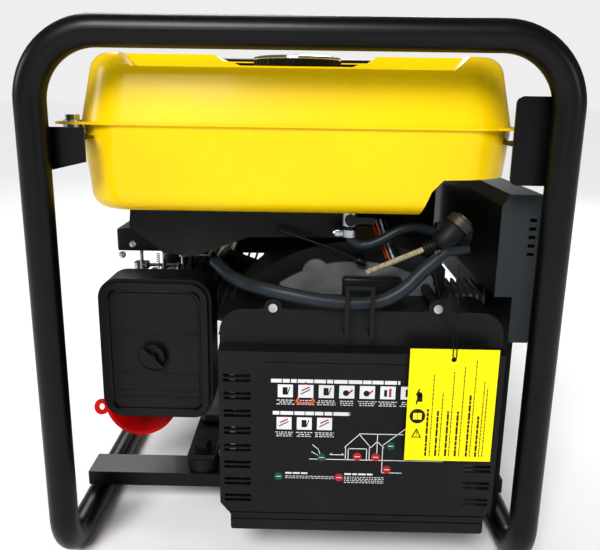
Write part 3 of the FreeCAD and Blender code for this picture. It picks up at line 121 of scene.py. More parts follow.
def finish(name, colour, worn, rough, grain_mm, depth_mm, metallic=0.0, patch_mm=70.0,
           grain="noise", stretch=(1, 1, 1), coat=0.0, sheen=0.0, strength=0.6, spec=0.3):
    """Surface with patches between two colours, and a grain that sets bump and roughness."""
    made = bpy.data.materials.new(name)
    made.use_nodes = True
    tree = made.node_tree
    shader = tree.nodes["Principled BSDF"]
    where = add(tree, "TexCoord").outputs["Object"]
    place = add(tree, "Mapping", {"Vector": where, "Scale": stretch}).outputs["Vector"]
    patch = add(tree, "TexNoise", {"Vector": where, "Scale": 1000 / patch_mm, "Detail": 4.0})
    if grain == "noise":
        fine = add(tree, "TexNoise", {"Vector": place, "Scale": 1000 / grain_mm, "Detail": 3.0})
        height = fine.outputs["Fac"]
    elif grain == "wave":
        fine = add(tree, "TexWave", {"Vector": place, "Scale": 1000 / grain_mm / 6.3,
                                     "Distortion": 1.5}, bands_direction="DIAGONAL")
        height = fine.outputs["Fac"]
    else:
        fine = add(tree, "TexVoronoi", {"Vector": place, "Scale": 1000 / grain_mm},
                   feature="F1" if grain == "cells" else "DISTANCE_TO_EDGE")
        height = fine.outputs["Distance"]
    shade = add(tree, "MapRange",
                {"Value": patch.outputs["Fac"], "From Min": 0.35, "From Max": 0.7})
    mixed = add(tree, "Mix", {"Factor": shade.outputs["Result"]}, data_type="RGBA")
    mixed.inputs[6].default_value = rgba(colour)
    mixed.inputs[7].default_value = rgba(worn)
    spread = add(tree, "MapRange", {"Value": height, "To Min": rough[0], "To Max": rough[1]})
    bump = add(tree, "Bump", {"Height": height, "Distance": depth_mm * MM, "Strength": strength})
    tree.links.new(mixed.outputs[2], shader.inputs["Base Color"])
    tree.links.new(spread.outputs["Result"], shader.inputs["Roughness"])
    tree.links.new(bump.outputs["Normal"], shader.inputs["Normal"])
    shader.inputs["Metallic"].default_value = metallic
    shader.inputs["Specular IOR Level"].default_value = 0.5 if metallic else spec
    shader.inputs["Coat Weight"].default_value = coat
    shader.inputs["Coat Roughness"].default_value = 0.08
    shader.inputs["Sheen Weight"].default_value = sheen
    return made


# The control box has the panel's colour in front of this plane, in mm.
BOX_FRONT_Y = -285.5


def end_painted(made, shade, edge_y):
    """Paint all of a surface in front of the plane y in another colour."""
    tree = made.node_tree
    shader = tree.nodes["Principled BSDF"]
    body = shader.inputs["Base Color"].links[0].from_socket
    where = add(tree, "TexCoord").outputs["Object"]
    y = add(tree, "SeparateXYZ", {"Vector": where}).outputs["Y"]
    front = add(tree, "Math", {0: y, 1: edge_y}, operation="LESS_THAN").outputs["Value"]
    mixed = add(tree, "Mix", {"Factor": front, 6: body}, data_type="RGBA")
    mixed.inputs[7].default_value = rgba(shade)
    tree.links.new(mixed.outputs[2], shader.inputs["Base Color"])


def all_materials():
    """Every finish by its name, without the number that Blender adds where the frame has it."""
    c = colours()
    made = [
        # Polyester powder coat on steel tube: fine orange peel, satin.
        finish("powder_coat", c.frame, linear("#0C0C0D"), (0.30, 0.44), 2.2, 0.05, coat=0.05),
        # Stoved enamel on pressed steel: glossy, very slight waves.
        finish("tank_enamel", c.tank, linear("#EFC700"), (0.24, 0.34), 5.0, 0.03, patch_mm=160,
               coat=0.15, strength=0.35),
        # ABS moulded in a spark-eroded tool: leather grain of about 1.5 mm.
        finish("grained_abs", c.moulding, linear("#17181A"), (0.38, 0.62), 1.5, 0.18,
               grain="edges"),
        finish("smooth_abs", linear("#0B0C0D"), linear("#131415"), (0.28, 0.4), 1.2, 0.04),
        # Sand-cast aluminium: grit of about 0.8 mm, dull with brighter high spots.
        finish("sand_cast", c.casting, linear("#56585A"), (0.5, 0.75), 1.3, 0.22, metallic=0.35,
               grain="cells", patch_mm=25),
        finish("die_cast", linear("#8E9192"), linear("#6F7274"), (0.36, 0.55), 0.9, 0.06,
               metallic=0.8, patch_mm=30),
        # Zinc plate: bright bluish silver with cloudy patches.
        finish("zinc_plate", linear("#C9CDD0"), linear("#9EA3A6"), (0.18, 0.36), 1.0, 0.02,
               metallic=1.0, patch_mm=12),
        finish("chrome_plate", linear("#E4E6E8"), linear("#C8CCD0"), (0.06, 0.12), 2.0, 0.005,
               metallic=1.0, patch_mm=20),
        # Pressed sheet under black paint: smooth, semi gloss.
        finish("painted_sheet", linear("#0D0D0E"), linear("#191A1B"), (0.3, 0.45), 1.8, 0.04,
               patch_mm=50),
        finish("panel_paint", c.panel, linear("#30353A"), (0.38, 0.5), 1.0, 0.05),
        finish("box_paint", linear("#101112"), linear("#17181A"), (0.4, 0.55), 1.0, 0.05),
        # Nitrile rubber: dull, faint moulding cloudiness.
        finish("hose_rubber", c.hose, linear("#28313A"), (0.36, 0.5), 0.8, 0.03, patch_mm=30),
        finish("black_rubber", linear("#121213"), linear("#1C1C1D"), (0.45, 0.62), 0.9, 0.05),
        finish("ground_steel", linear("#A5A7A9"), linear("#8B8D8F"), (0.22, 0.4), 0.8, 0.01,
               metallic=1.0, stretch=(1, 8, 1)),
        finish("grey_iron", linear("#5A5B5C"), linear("#474849"), (0.5, 0.7), 1.0, 0.1,
               metallic=0.7, grain="cells"),
        # Stacked laminations of the stator: one dark line every 3 mm along the shaft.
        finish("laminations", linear("#4A4B4D"), linear("#5C5D5F"), (0.4, 0.6), 3.0, 0.1,
               metallic=0.6, stretch=(0.01, 1, 0.01)),
        # Aluminised steel that heat has browned.
        finish("hot_steel", linear("#3B3937"), linear("#56493C"), (0.42, 0.6), 1.4, 0.05,
               metallic=0.6, patch_mm=45),
        finish("filter_foam", linear("#26262A"), linear("#34343A"), (0.85, 1.0), 1.6, 0.7,
               grain="edges", sheen=0.3),
        finish("white_nylon", linear("#D8D6CC"), linear("#C9C6B8"), (0.4, 0.55), 0.8, 0.05),
        finish("funnel_pe", c.funnel, linear("#B80404"), (0.25, 0.4), 1.5, 0.04),
        finish("tag_card", c.tag, linear("#EFDA00"), (0.42, 0.55), 0.6, 0.01),
        finish("plate_film", linear("#0E0F12"), linear("#141519"), (0.3, 0.42), 0.7, 0.02),
        finish("print_black", linear("#141310"), linear("#1D1B16"), (0.5, 0.6), 0.5, 0.01),
        finish("print_white", linear("#DFE0E2"), linear("#C8CACC"), (0.45, 0.55), 0.5, 0.01),
        finish("print_red", linear("#B02A2E"), linear("#9A2226"), (0.45, 0.55), 0.5, 0.01),
        finish("print_green", linear("#1E5A45"), linear("#174A38"), (0.45, 0.55), 0.5, 0.01),
        finish("print_orange", linear("#F0642A"), linear("#DD5520"), (0.45, 0.55), 0.5, 0.01),
        # PVC wire insulation in its loom colours.
        finish("wire_red", linear("#A32A1C"), linear("#8C2216"), (0.3, 0.4), 0.5, 0.01),
        finish("wire_tan", linear("#B0642E"), linear("#9A5526"), (0.3, 0.4), 0.5, 0.01),
        finish("wire_blue", linear("#5C7FC0"), linear("#C9D4E8"), (0.3, 0.4), 0.5, 0.01,
               patch_mm=4),
        # Glass fibre braid: crossed strands about 1 mm wide, cream.
        finish("glass_braid", linear("#B5A98A"), linear("#7E745C"), (0.6, 0.85), 1.2, 0.3,
               grain="wave", patch_mm=2.5),
        finish("cord_black", linear("#0C0C0C"), linear("#161616"), (0.6, 0.8), 0.6, 0.15,
               grain="wave"),
        finish("brass", linear("#C9A24A"), linear("#A8853A"), (0.22, 0.4), 0.8, 0.02,
               metallic=1.0),
        finish("meter_glass", linear("#D9DCDC"), linear("#C9CCCC"), (0.06, 0.12), 1.5, 0.004,
               coat=1.0),
    ]
    by_name = {m.name.split(".")[0]: m for m in made}
    end_painted(by_name["box_paint"], c.panel, BOX_FRONT_Y * MM)
    return by_name


NODE_FINISHES = {
    "powder_coat": "front_frame_tube rear_frame_tube cross_members tank_brackets engine_bed",
    "tank_enamel": "fuel_tank_upper fuel_tank_lower",
    "white_nylon": "fuel_strainer",
    "black_rubber": "cap_gasket engine_mounts",
    "zinc_plate": "tank_fixings cover_screws throttle_arm choke_lever fuel_tap",
    "sand_cast": "fan_end_casting side_cover crankcase",
    "die_cast": "carburettor cylinder_head alternator_end_bell regulator_rectifier",
    "painted_sheet": "fan_housing air_duct valve_cover alternator_end_cover linkage_cover",
    "ground_steel": "shaft_bearings crankshaft rotor",
    "grey_iron": "flywheel",
    "smooth_abs": "cooling_fan dipstick air_filter_base fuel_tap_lever panel_fittings"
                  " outlet_flap_front outlet_flap_rear breaker_rocker",
    "grained_abs": "front_cover air_filter_cover",
    "hot_steel": "muffler muffler_guard",
    "filter_foam": "air_filter_element",
    "laminations": "stator",
    "plate_film": "instruction_plate",
    "hose_rubber": "fuel_hose breather_hose",
    "panel_paint": "control_faceplate",
    "box_paint": "control_box",
    "meter_glass": "voltmeter",
    "brass": "ignition_key ground_wing_nut",
    "funnel_pe": "oil_funnel",
    "tag_card": "hang_tag",
}


# ---- mesh helpers ----------------------------------------------------------------------
def turn_to(direction):
    """Rotation that takes +Z to the direction."""
    return Vector((0, 0, 1)).rotation_difference(Vector(direction)).to_matrix().to_4x4()


def block(bm, low, high, bevel=0.0, index=0):
    """Box between two corners, in mm, with its edges rounded."""
    low, high = Vector(low) * MM, Vector(high) * MM
    place = Matrix.Translation((low + high) / 2) @ Matrix.Diagonal((*(high - low), 1))
    made = bmesh.ops.create_cube(bm, size=1.0, matrix=place)
    faces = {f for v in made["verts"] for f in v.link_faces}
    if bevel:
        edges = {e for v in made["verts"] for e in v.link_edges}
        done = bmesh.ops.bevel(bm, geom=list(edges), offset=bevel * MM, segments=2, profile=0.5,
                               affect="EDGES", material=-1)
        faces = {f for f in faces if f.is_valid} | set(done["faces"])
    for face in faces:
        face.material_index = index


def drum(bm, start, end, radius, end_radius=None, steps=32, bevel=0.0, index=0):
    """Closed cylinder or cone between two points, in mm."""
    start, end = Vector(start) * MM, Vector(end) * MM
    axis = end - start
    place = Matrix.Translation((start + end) / 2) @ turn_to(axis)
    last = radius if end_radius is None else end_radius
    made = bmesh.ops.create_cone(bm, cap_ends=True, segments=steps, radius1=radius * MM,
                                 radius2=last * MM, depth=axis.length, matrix=place)
    faces = {f for v in made["verts"] for f in v.link_faces}
    if bevel:
        caps = [f for f in faces if len(f.verts) > 4]
        edges = {e for f in caps for e in f.edges}
        done = bmesh.ops.bevel(bm, geom=list(edges), offset=bevel * MM, segments=2, profile=0.5,
                               affect="EDGES", material=-1)
        faces = {f for f in faces if f.is_valid} | set(done["faces"])
    for face in faces:
        face.material_index = index


def lathe(bm, outline, centre, axis, steps=48, index=0):
    """Body of revolution; outline is (radius, height along the axis) in mm, end to end."""
    turn = Matrix.Translation(Vector(centre) * MM) @ turn_to(axis)
    points = [bm.verts.new((r * MM, 0, h * MM)) for r, h in outline]
    edges = [bm.edges.new(pair) for pair in zip(points, points[1:])]
    before = set(bm.faces)
    bmesh.ops.spin(bm, geom=points + edges, cent=(0, 0, 0), axis=(0, 0, 1), steps=steps,
                   angle=2 * math.pi, use_merge=True)
    faces = [f for f in bm.faces if f not in before]
    verts = list({v for f in faces for v in f.verts})
    bmesh.ops.remove_doubles(bm, verts=verts, dist=1e-6)
    faces = [f for f in bm.faces if f not in before]
    bmesh.ops.recalc_face_normals(bm, faces=faces)
    bmesh.ops.transform(bm, matrix=turn, verts=list({v for f in faces for v in f.verts}))
    for face in faces:
        face.material_index = index


def build(name, bm, body, slot, *finishes):
    """Object from a bmesh, smooth between sharp edges, riding on a body."""
    mesh = bpy.data.meshes.new(name)
    for face in bm.faces:
        face.smooth = True
    for edge in bm.edges:
        edge.smooth = len(edge.link_faces) != 2 or edge.calc_face_angle(0) < math.radians(35)
    bm.to_mesh(mesh)
    bm.free()
    made = bpy.data.objects.new(name, mesh)
    bpy.context.scene.collection.objects.link(made)
    for key in finishes:
        mesh.materials.append(bpy.data.materials[key])
    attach(made, body)
    return made


def strand(name, points, radius, body, key, order=3):
    """Tube along a smooth line, in mm."""
    curve = bpy.data.curves.new(name, "CURVE")
    curve.dimensions = "3D"
    spline = curve.splines.new("NURBS")
    spline.points.add(len(points) - 1)
    for point, place in zip(spline.points, points):
        point.co = (*(Vector(place) * MM), 1)
    spline.order_u = order
    spline.use_endpoint_u = True
    spline.resolution_u = 12
    curve.bevel_depth = radius * MM
    curve.bevel_resolution = 4
    curve.use_fill_caps = True
    curve.materials.append(bpy.data.materials[key])
    made = bpy.data.objects.new(name, curve)
    bpy.context.scene.collection.objects.link(made)
    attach(made, body)
    return made


def middle_of(name):
    """Middle of a CAD part's box, in mm."""
    low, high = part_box(name)
    return [(a + b) / 2 / MM for a, b in zip(low, high)]


def round_point(centre, radius, degrees):
    """Point at an angle on a circle round a pair of coordinates."""
    angle = math.radians(degrees)
    return centre[0] + radius * math.cos(angle), centre[1] + radius * math.sin(angle)


# ---- pieces ---------------------------------------------------------------------------
class GENERATOR_OT_finishes(bpy.types.Operator):
    """Make every material and give each CAD part its own"""
    bl_idname = "generator.finishes"
    bl_label = "Finishes"

    def execute(self, context):
        made = all_materials()
        for key, names in NODE_FINISHES.items():
            for name in names.split():
                slots = NODES[name].data.materials
                slots.clear()
                slots.append(made[key])
        return {"FINISHED"}


TAG_STRING = [(137, -325, 344), (140, -331, 329), (145, -335, 314), (151, -339, 300),
              (156, -342.5, 287), (157.2, -345.4, 276), (157.2, -346.3, 267), (157.3, -346.5, 261),
              (158.5, -346.5, 258.6), (160, -346.5, 258.8), (160.9, -346.5, 261.2),
              (160.9, -346.3, 267), (160.6, -345.4, 276), (159.6, -342.5, 287), (160.2, -338, 301),
              (161, -333, 317), (162, -327, 334), (163, -319, 349)]


class GENERATOR_OT_tag_string(bpy.types.Operator):
    """Make the black string that the tag hangs on"""
    bl_idname = "generator.tag_string"
    bl_label = "Tag string"

    def execute(self, context):
        string = strand("tag_string_line", TAG_STRING, 0.6, "frame", "cord_black")
        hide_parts("tag_string")
        return {"FINISHED"}


def text_line(bm, start, end, width, depth, line, draws, index=0):
    """Row of short dashes that stands for a line of small print, in mm.

    line is ("z", x) for a line that runs up the sheet at x, or ("x", z) for one across it at z.
    """
    at = start
    y0, y1 = depth
    direction, place = line
    half = width / 2
    while at < end:
        stop = min(at + draws.uniform(2.0, 6.0) * (width / 1.4), end)
        if direction == "z":
            block(bm, (place - half, y0, at), (place + half, y1, stop), index=index)
        else:
            block(bm, (at, y0, place - half), (stop, y1, place + half), index=index)
        at = stop + draws.uniform(0.8, 1.3)


# Lines of print on the tag: where each stands across it, and the height that it runs up to.
TAG_BOLD = [(136.5, 204), (146.7, 203), (157, 202), (167, 202), (178.5, 220), (188, 197)]
TAG_FINE = [(140.6, 242), (150.6, 223), (160.6, 245), (171, 251), (182.2, 258), (191.6, 236),
            (195, 228)]
TAG_PRINT_FOOT = 151.5
TAG_ICON_X = 126


def book_icon(bm, x, z, y0, y1):
    """Open book in a disc."""
    drum(bm, (x, y1, z), (x, y0, z), 8.0)
    block(bm, (x - 4.4, y0 - 0.1, z - 3.6), (x + 4.4, y0 + 0.05, z + 3.6), index=1)
    block(bm, (x - 0.2, y0 - 0.15, z - 3.6), (x + 0.2, y0, z + 3.6))


def warning_icon(bm, x, z, y0, y1):
    """Triangle in outline, built up of small squares, with a bar and a dot in it."""
    block(bm, (x - 4, y0, z), (x + 4.5, y1, z + 0.9))
    steps = 12
    for side in (-1, 1):
        foot = Vector((x + side * 4.4, 0, z + 0.4))
        slope = Vector((x, 0, z + 9.5)) - foot
        for k in range(steps):
            at = foot + slope * (k / (steps - 1))
            block(bm, (at.x - 0.5, y0, at.z - 0.6), (at.x + 0.5, y1, at.z + 0.6))
    block(bm, (x - 0.4, y0, z + 3.5), (x + 0.4, y1, z + 7))
    drum(bm, (x, y1, z + 2.3), (x, y0, z + 2.3), 0.5, steps=12)


def oil_can_icon(bm, x, z, y0, y1):
    """Oil can on its side: body, filler, spout and handle."""
    block(bm, (x - 1.5, y0, z), (x + 4, y1, z + 7.5))
    drum(bm, (x + 1, y1, z + 8), (x + 1, y0, z + 8), 2.6, steps=20)
    for k in range(8):
        across, up = k * 0.35, k * 0.85
        block(bm, (x - 2.8 + across, y0, z + 7 + up), (x - 1.4 + across, y1, z + 8 + up))
    block(bm, (x - 2.4, y0, z - 3), (x - 1, y1, z + 1))


class GENERATOR_OT_tag_print(bpy.types.Operator):
    """Print generic marks on the hang tag: oil can, book in a disc, triangle and lines"""
    bl_idname = "generator.tag_print"
    bl_label = "Tag print"

    def execute(self, context):
        bm = bmesh.new()
        draws = random.Random(4)
        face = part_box("hang_tag")[0][1] / MM
        depth = (face - sizes().print_height / MM, face + 0.05)
        for lines, width in ((TAG_BOLD, 2.0), (TAG_FINE, 0.9)):
            for x, top in lines:
                text_line(bm, TAG_PRINT_FOOT, top, width, depth, ("z", x), draws)
        book_icon(bm, TAG_ICON_X, 196, *depth)
        warning_icon(bm, TAG_ICON_X, 172, *depth)
        oil_can_icon(bm, TAG_ICON_X, 212, *depth)
        build("tag_print", bm, "tag", "tag_card", "print_black", "tag_card")
        return {"FINISHED"}


def mark(bm, start, end, width, depth, index=0):
    """Straight printed line on the plate between two points (x, z), in mm."""
    first = Vector((start[0], 0, start[1])) * MM
    last = Vector((end[0], 0, end[1])) * MM
    along = last - first
    middle = (first + last) / 2 + Vector((0, (depth[0] + depth[1]) / 2 * MM, 0))
    angle = math.atan2(along.z, along.x)
    size = (along.length + width * MM, (depth[1] - depth[0]) * MM, width * MM, 1)
    place = Matrix.Translation(middle) @ Matrix.Rotation(-angle, 4, "Y") @ Matrix.Diagonal(size)
    made = bmesh.ops.create_cube(bm, size=1.0, matrix=place)
    for face in {f for v in made["verts"] for f in v.link_faces}:
        face.material_index = index


# Lines of the house diagram, as pairs of (x, z) on the plate.
GROUND_LINE = [((17, 140.5), (157, 140.5))]
HOUSE = [((54.6, 140.5), (54.6, 155.7)), ((53.6, 155.0), (68.4, 170)),
         ((68.4, 170), (81, 155.0)), ((79.5, 140.5), (79.5, 157))]
GARAGE = [((81, 155.0), (87.4, 162.5)), ((87.4, 162.5), (94.5, 155.0)),
          ((93.3, 126), (93.3, 158)), ((93.3, 158), (117, 178))]
DOOR = [((57.4, 153.5), (76.7, 153.5)), ((57.4, 141.5), (57.4, 153.5)),
        ((76.7, 141.5), (76.7, 153.5))]
DISTANCE_ARROW = [((38, 146), (53, 146)), ((38, 146), (40, 147.5)), ((53, 146), (51, 147.5))]
FIGURE = [((20, 157), (26, 152)), ((26, 152), (29, 143)), ((19, 149), (24, 146)),
          ((24, 146), (29, 143))]
CABLES = [((68.4, 170.7), (114, 170.7)), ((87.4, 145.5), (87.4, 170.7)),
          ((93.3, 126), (114, 126))]
DIAGRAM = GROUND_LINE + HOUSE + GARAGE + DOOR + DISTANCE_ARROW + FIGURE + CABLES
WARNING_SIDES = [((11.4, 226), (1.6, 204)), ((11.4, 226), (21.4, 204)), ((1.6, 204), (21.4, 204))]
WHITE, RED, GREEN, ORANGE, BLACK = range(5)
DISCS = [(67, 144.4, RED), (86.2, 144.2, RED), (98.6, 129.8, RED), (101.6, 157.4, GREEN),
         (-15.6, 119.4, GREEN), (48.4, 119.4, RED), (29.6, 142.6, GREEN)]
# Rows of pictograms: how many, where the first begins, and the foot and head of the tiles.
TILE_ROWS = [(7, -17, 210.4, 224.6), (3, -18, 174.2, 188.2)]
TILE_PITCH = 21
TILE_WIDTH = 15.6


def pictogram(bm, kind, x, z0, z1, top):
    """One of four generic figures on a tile that starts at x and stands from z0 to z1."""
    if kind == 0:
        block(bm, (x + 5, top[0], z0 + 3), (x + 10, top[1], z1 - 3), index=BLACK)
        mark(bm, (x + 10, z0 + 4), (x + 12.5, z1 - 3), 0.9, top, BLACK)
    elif kind == 1:
        block(bm, (x + 4, top[0], z0 + 3), (x + 7, top[1], z1 - 4), index=BLACK)
        block(bm, (x + 9, top[0], z0 + 2.5), (x + 11.4, top[1], z1 - 2.5), index=RED)
    elif kind == 2:
        drum(bm, (x + 7, top[1], z0 + 6), (x + 7, top[0], z0 + 6), 3.2, steps=20, index=BLACK)
        mark(bm, (x + 8, z0 + 4), (x + 13, z0 + 9), 1.6, top, RED)
    else:
        mark(bm, (x + 3, z0 + 4), (x + 12, z0 + 9), 1.0, top, BLACK)
        mark(bm, (x + 4, z0 + 8), (x + 11, z0 + 11.5), 1.4, top, RED)


def tile_row(bm, row, low, high, draws):
    """White tiles, each with a pictogram on it and three lines of small print below."""
    count, first, z0, z1 = row
    top = (high[0] - 0.12, high[0] + 0.04)
    for k in range(count):
        x = first + TILE_PITCH * k
        block(bm, (x, high[0], z0), (x + TILE_WIDTH, high[1], z1), index=WHITE)
        pictogram(bm, draws.randrange(4), x, z0, z1, top)
        for line in range(3):
            inset = draws.uniform(0, 4)
            text_line(bm, x - 2 + inset, x + 18 - inset, 0.9, low,
                      ("x", z0 - 3.2 - 2.2 * line), draws, WHITE)


class GENERATOR_OT_plate_print(bpy.types.Operator):
    """Print generic pictograms, lines and a house diagram on the instruction plate"""
    bl_idname = "generator.plate_print"
    bl_label = "Plate print"

    def execute(self, context):
        bm = bmesh.new()
        draws = random.Random(9)
        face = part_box("instruction_plate")[0][1] / MM
        low = (face - sizes().print_height / MM, face + 0.05)
        high = (low[0] - 0.15, low[0] + 0.05)
        text_line(bm, -24, 108, 4.0, low, ("x", 228.6), draws, WHITE)
        text_line(bm, -22, 58, 4.0, low, ("x", 192.8), draws, WHITE)
        for start, end in WARNING_SIDES:
            mark(bm, start, end, 2.2, low, ORANGE)
        for row in TILE_ROWS:
            tile_row(bm, row, low, high, draws)
        for start, end in DIAGRAM:
            mark(bm, start, end, 0.8, low, WHITE)
        for x, z, colour in DISCS:
            drum(bm, (x, high[1], z), (x, high[0], z), 4.6, steps=28, index=colour)
            mark(bm, (x - 2.2, z), (x + 2.2, z), 0.8, (high[0] - 0.1, high[0] + 0.05), WHITE)
        for start, end in ((-8.5, 16), (54, 84)):
            text_line(bm, start, end, 2.0, low, ("x", 123.6), draws, WHITE)
        for k in range(4):
            line = ("x", 120 - 2.1 * k)
            if k < 2:
                text_line(bm, -8.5, 43, 0.8, low, line, draws, WHITE)
            text_line(bm, 54, 96, 0.8, low, line, draws, WHITE)
        build("plate_print", bm, "frame", "plate_print", "print_white", "print_red",
              "print_green", "print_orange", "print_black")
        return {"FINISHED"}


class GENERATOR_OT_fuel_cap(bpy.types.Operator):
    """Make the filler cap: ribbed skirt, chrome band, dished top with a grip"""
    bl_idname = "generator.fuel_cap"
    bl_label = "Filler cap"

    def execute(self, context):
        low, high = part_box("fuel_cap")
        x, y, _ = middle_of("fuel_cap")
        base, top = low[2] / MM, high[2] / MM
        radius = (high[0] - low[0]) / 2 / MM
        skirt = radius - 1.2
        centre, up, steps = (x, y, base), (0, 0, 1), 96
        bm = bmesh.new()
        lathe(bm, [(0, 5.2), (27.2, 5.2), (27.2, 0), (radius - 2.5, 0), (skirt, 1.0),
                   (skirt, 6.5), (radius - 3, 7.2), (0, 7.2)], centre, up, steps)
        ribs = sizes().cap_ribs
        for k in range(ribs):
            angle = 2 * math.pi * k / ribs
            out = Vector((math.cos(angle), math.sin(angle), 0))
            at = Vector((x, y, 0)) + out * skirt
            drum(bm, (at.x, at.y, base + 0.8), (at.x, at.y, base + 6.2), 1.2, steps=8)
        band = [(radius - 10, 6.8), (radius - 0.6, 6.8), (radius - 0.2, 7.6), (radius - 1.0, 9.6),
                (radius - 5.5, 10.6), (radius - 10, 10.2), (radius - 10, 6.8)]
        lathe(bm, band, centre, up, steps, 1)
        lathe(bm, [(0, 6.0), (radius - 9.5, 6.0), (radius - 9.5, 9.6), (radius - 12, 10.6),
                   (30, 9.6), (14, 8.6), (0, 8.4)], centre, up, steps)
        block(bm, (x - 30, y - 5, base + 8), (x + 30, y + 5, top - 0.2), 1.6)
        cap = build("filler_cap", bm, "cap", "cap_black", "smooth_abs", "chrome_plate")
        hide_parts("fuel_cap")
        return {"FINISHED"}


FILTER_BARS = (246, 197, 176, 168)


def filter_ribs():
    """Raised frame with round corners on the filter's cover, and four bars inside it."""
    low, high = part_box("air_filter_cover")
    x0, x1 = low[0] / MM, high[0] / MM
    z0, z1 = low[2] / MM, high[2] / MM
    front = low[1] / MM
    inset, corner = 13, 22
    bm = bmesh.new()
    for z in (z0 + inset, z1 - inset):
        block(bm, (x0 + corner, front - 0.9, z - 1), (x1 - corner, front + 1, z + 1), 0.6)
    for x in (x0 + inset, x1 - inset):
        block(bm, (x - 1, front - 0.9, z0 + corner), (x + 1, front + 1, z1 - corner), 0.6)
    pieces = 6
    for x, z, first in ((x0 + corner, z0 + corner, 180), (x1 - corner, z0 + corner, 270),
                        (x1 - corner, z1 - corner, 0), (x0 + corner, z1 - corner, 90)):
        for k in range(pieces):
            start, end = (first + 90 * step / pieces for step in (k, k + 1))
            mark(bm, round_point((x, z), corner - inset, start),
                 round_point((x, z), corner - inset, end), 2.0, (front - 0.9, front + 1))
    for z in FILTER_BARS:
        block(bm, (x0 + inset, front - 0.7, z - 0.8), (x1 - inset, front + 1, z + 0.8), 0.5)
    build("filter_ribs", bm, "filter_lid", "dark_plastic", "grained_abs")


def filter_knob():
    """Round knob with grip ribs, a wing across it and a hub."""
    low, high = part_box("air_filter_knob")
    x, _, z = middle_of("air_filter_knob")
    back, tip = high[1] / MM, low[1] / MM
    radius = sizes().knob_radius / MM
    bm = bmesh.new()
    lathe(bm, [(0, 0), (radius - 0.6, 0), (radius, 0.8), (radius, 6), (radius - 1.6, 7.6),
               (radius - 4, 7.2), (0, 6.4)], (x, back, z), (0, -1, 0), 48)
    ribs = 14
    for k in range(ribs):
        rib_x, rib_z = round_point((x, z), radius - 0.9, 360 * k / ribs)
        drum(bm, (rib_x, back - 1, rib_z), (rib_x, back - 6.4, rib_z), 0.9, steps=8)
    mark(bm, (x - 9, z + 9), (x + 9, z - 9), 5.0, (tip + 0.3, back - 5))
    drum(bm, (x, back - 6, z), (x, tip + 1.2, z), 5, steps=24, bevel=0.6)
    knob = build("filter_knob", bm, "filter_knob", "dark_plastic", "smooth_abs")
    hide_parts("air_filter_knob")


class GENERATOR_OT_air_filter(bpy.types.Operator):
    """Add raised lines to the air filter cover, and make its knob"""
    bl_idname = "generator.air_filter"
    bl_label = "Air filter trim"

    def execute(self, context):
        filter_ribs()
        filter_knob()
        return {"FINISHED"}


WIRES = [((80, -243, 381), (99, -245, 337), "wire_red"),
         ((85, -244, 381), (103, -246, 335), "wire_tan"),
         ((90, -244, 381), (108, -246, 334), "wire_blue"),
         ((95, -245, 381), (117, -247, 333), "smooth_abs")]
STARTER_LEAD = [(134, -276, 355), (104, -273, 341), (75, -270, 327)]
STOP_CABLE = [(-24, -245, 368), (10, -248, 358), (47, -251, 345), (66, -253, 337)]
HOSE_CLAMP = Vector((56, -258, 368))


def hose_clamp():
    """Band round the fuel hose with its lug and screw."""
    half = sizes().clamp_width / MM / 2
    x, y, z = HOSE_CLAMP
    bm = bmesh.new()
    lathe(bm, [(7.4, -half), (7.9, -half), (7.9, half), (7.4, half), (7.4, -half)], HOSE_CLAMP,
          (0, 0, 1))
    block(bm, (x - 16, y - 4, z - 3.5), (x - 7, y + 4, z + 3.5), 0.8)
    drum(bm, (x - 18, y, z), (x - 4, y, z), 3.4, steps=16, bevel=0.5)
    build("hose_clamp", bm, "frame", "zinc_steel", "zinc_plate")


class GENERATOR_OT_wiring(bpy.types.Operator):
    """Make the loom's wires, the braided starter lead, the stop cable and the igniter"""
    bl_idname = "generator.wiring"
    bl_label = "Wiring"

    def execute(self, context):
        for k, (top, foot, key) in enumerate(WIRES):
            middle = (Vector(top) + Vector(foot)) / 2 + Vector((-2, -2, 1))
            wire = strand(f"loom_wire_{k}", [top, middle, foot], 1.3, "frame", key)
            if k == 0:
                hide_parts("wiring")
        strand("starter_lead", STARTER_LEAD, 3.2, "frame", "glass_braid")
        strand("stop_cable", STOP_CABLE, 1.6, "frame", "smooth_abs")
        bm = bmesh.new()
        cable_end = Vector(STOP_CABLE[-1])
        way = Vector((19, -2, -8)).normalized()
        drum(bm, cable_end, cable_end + way * 10, 4.4, 3.6, steps=24, bevel=0.6)
        block(bm, (50, -262, 286), (116, -246, 318), 3)
        build("igniter_box", bm, "frame", "wire_plastic", "smooth_abs")
        hose_clamp()
        return {"FINISHED"}


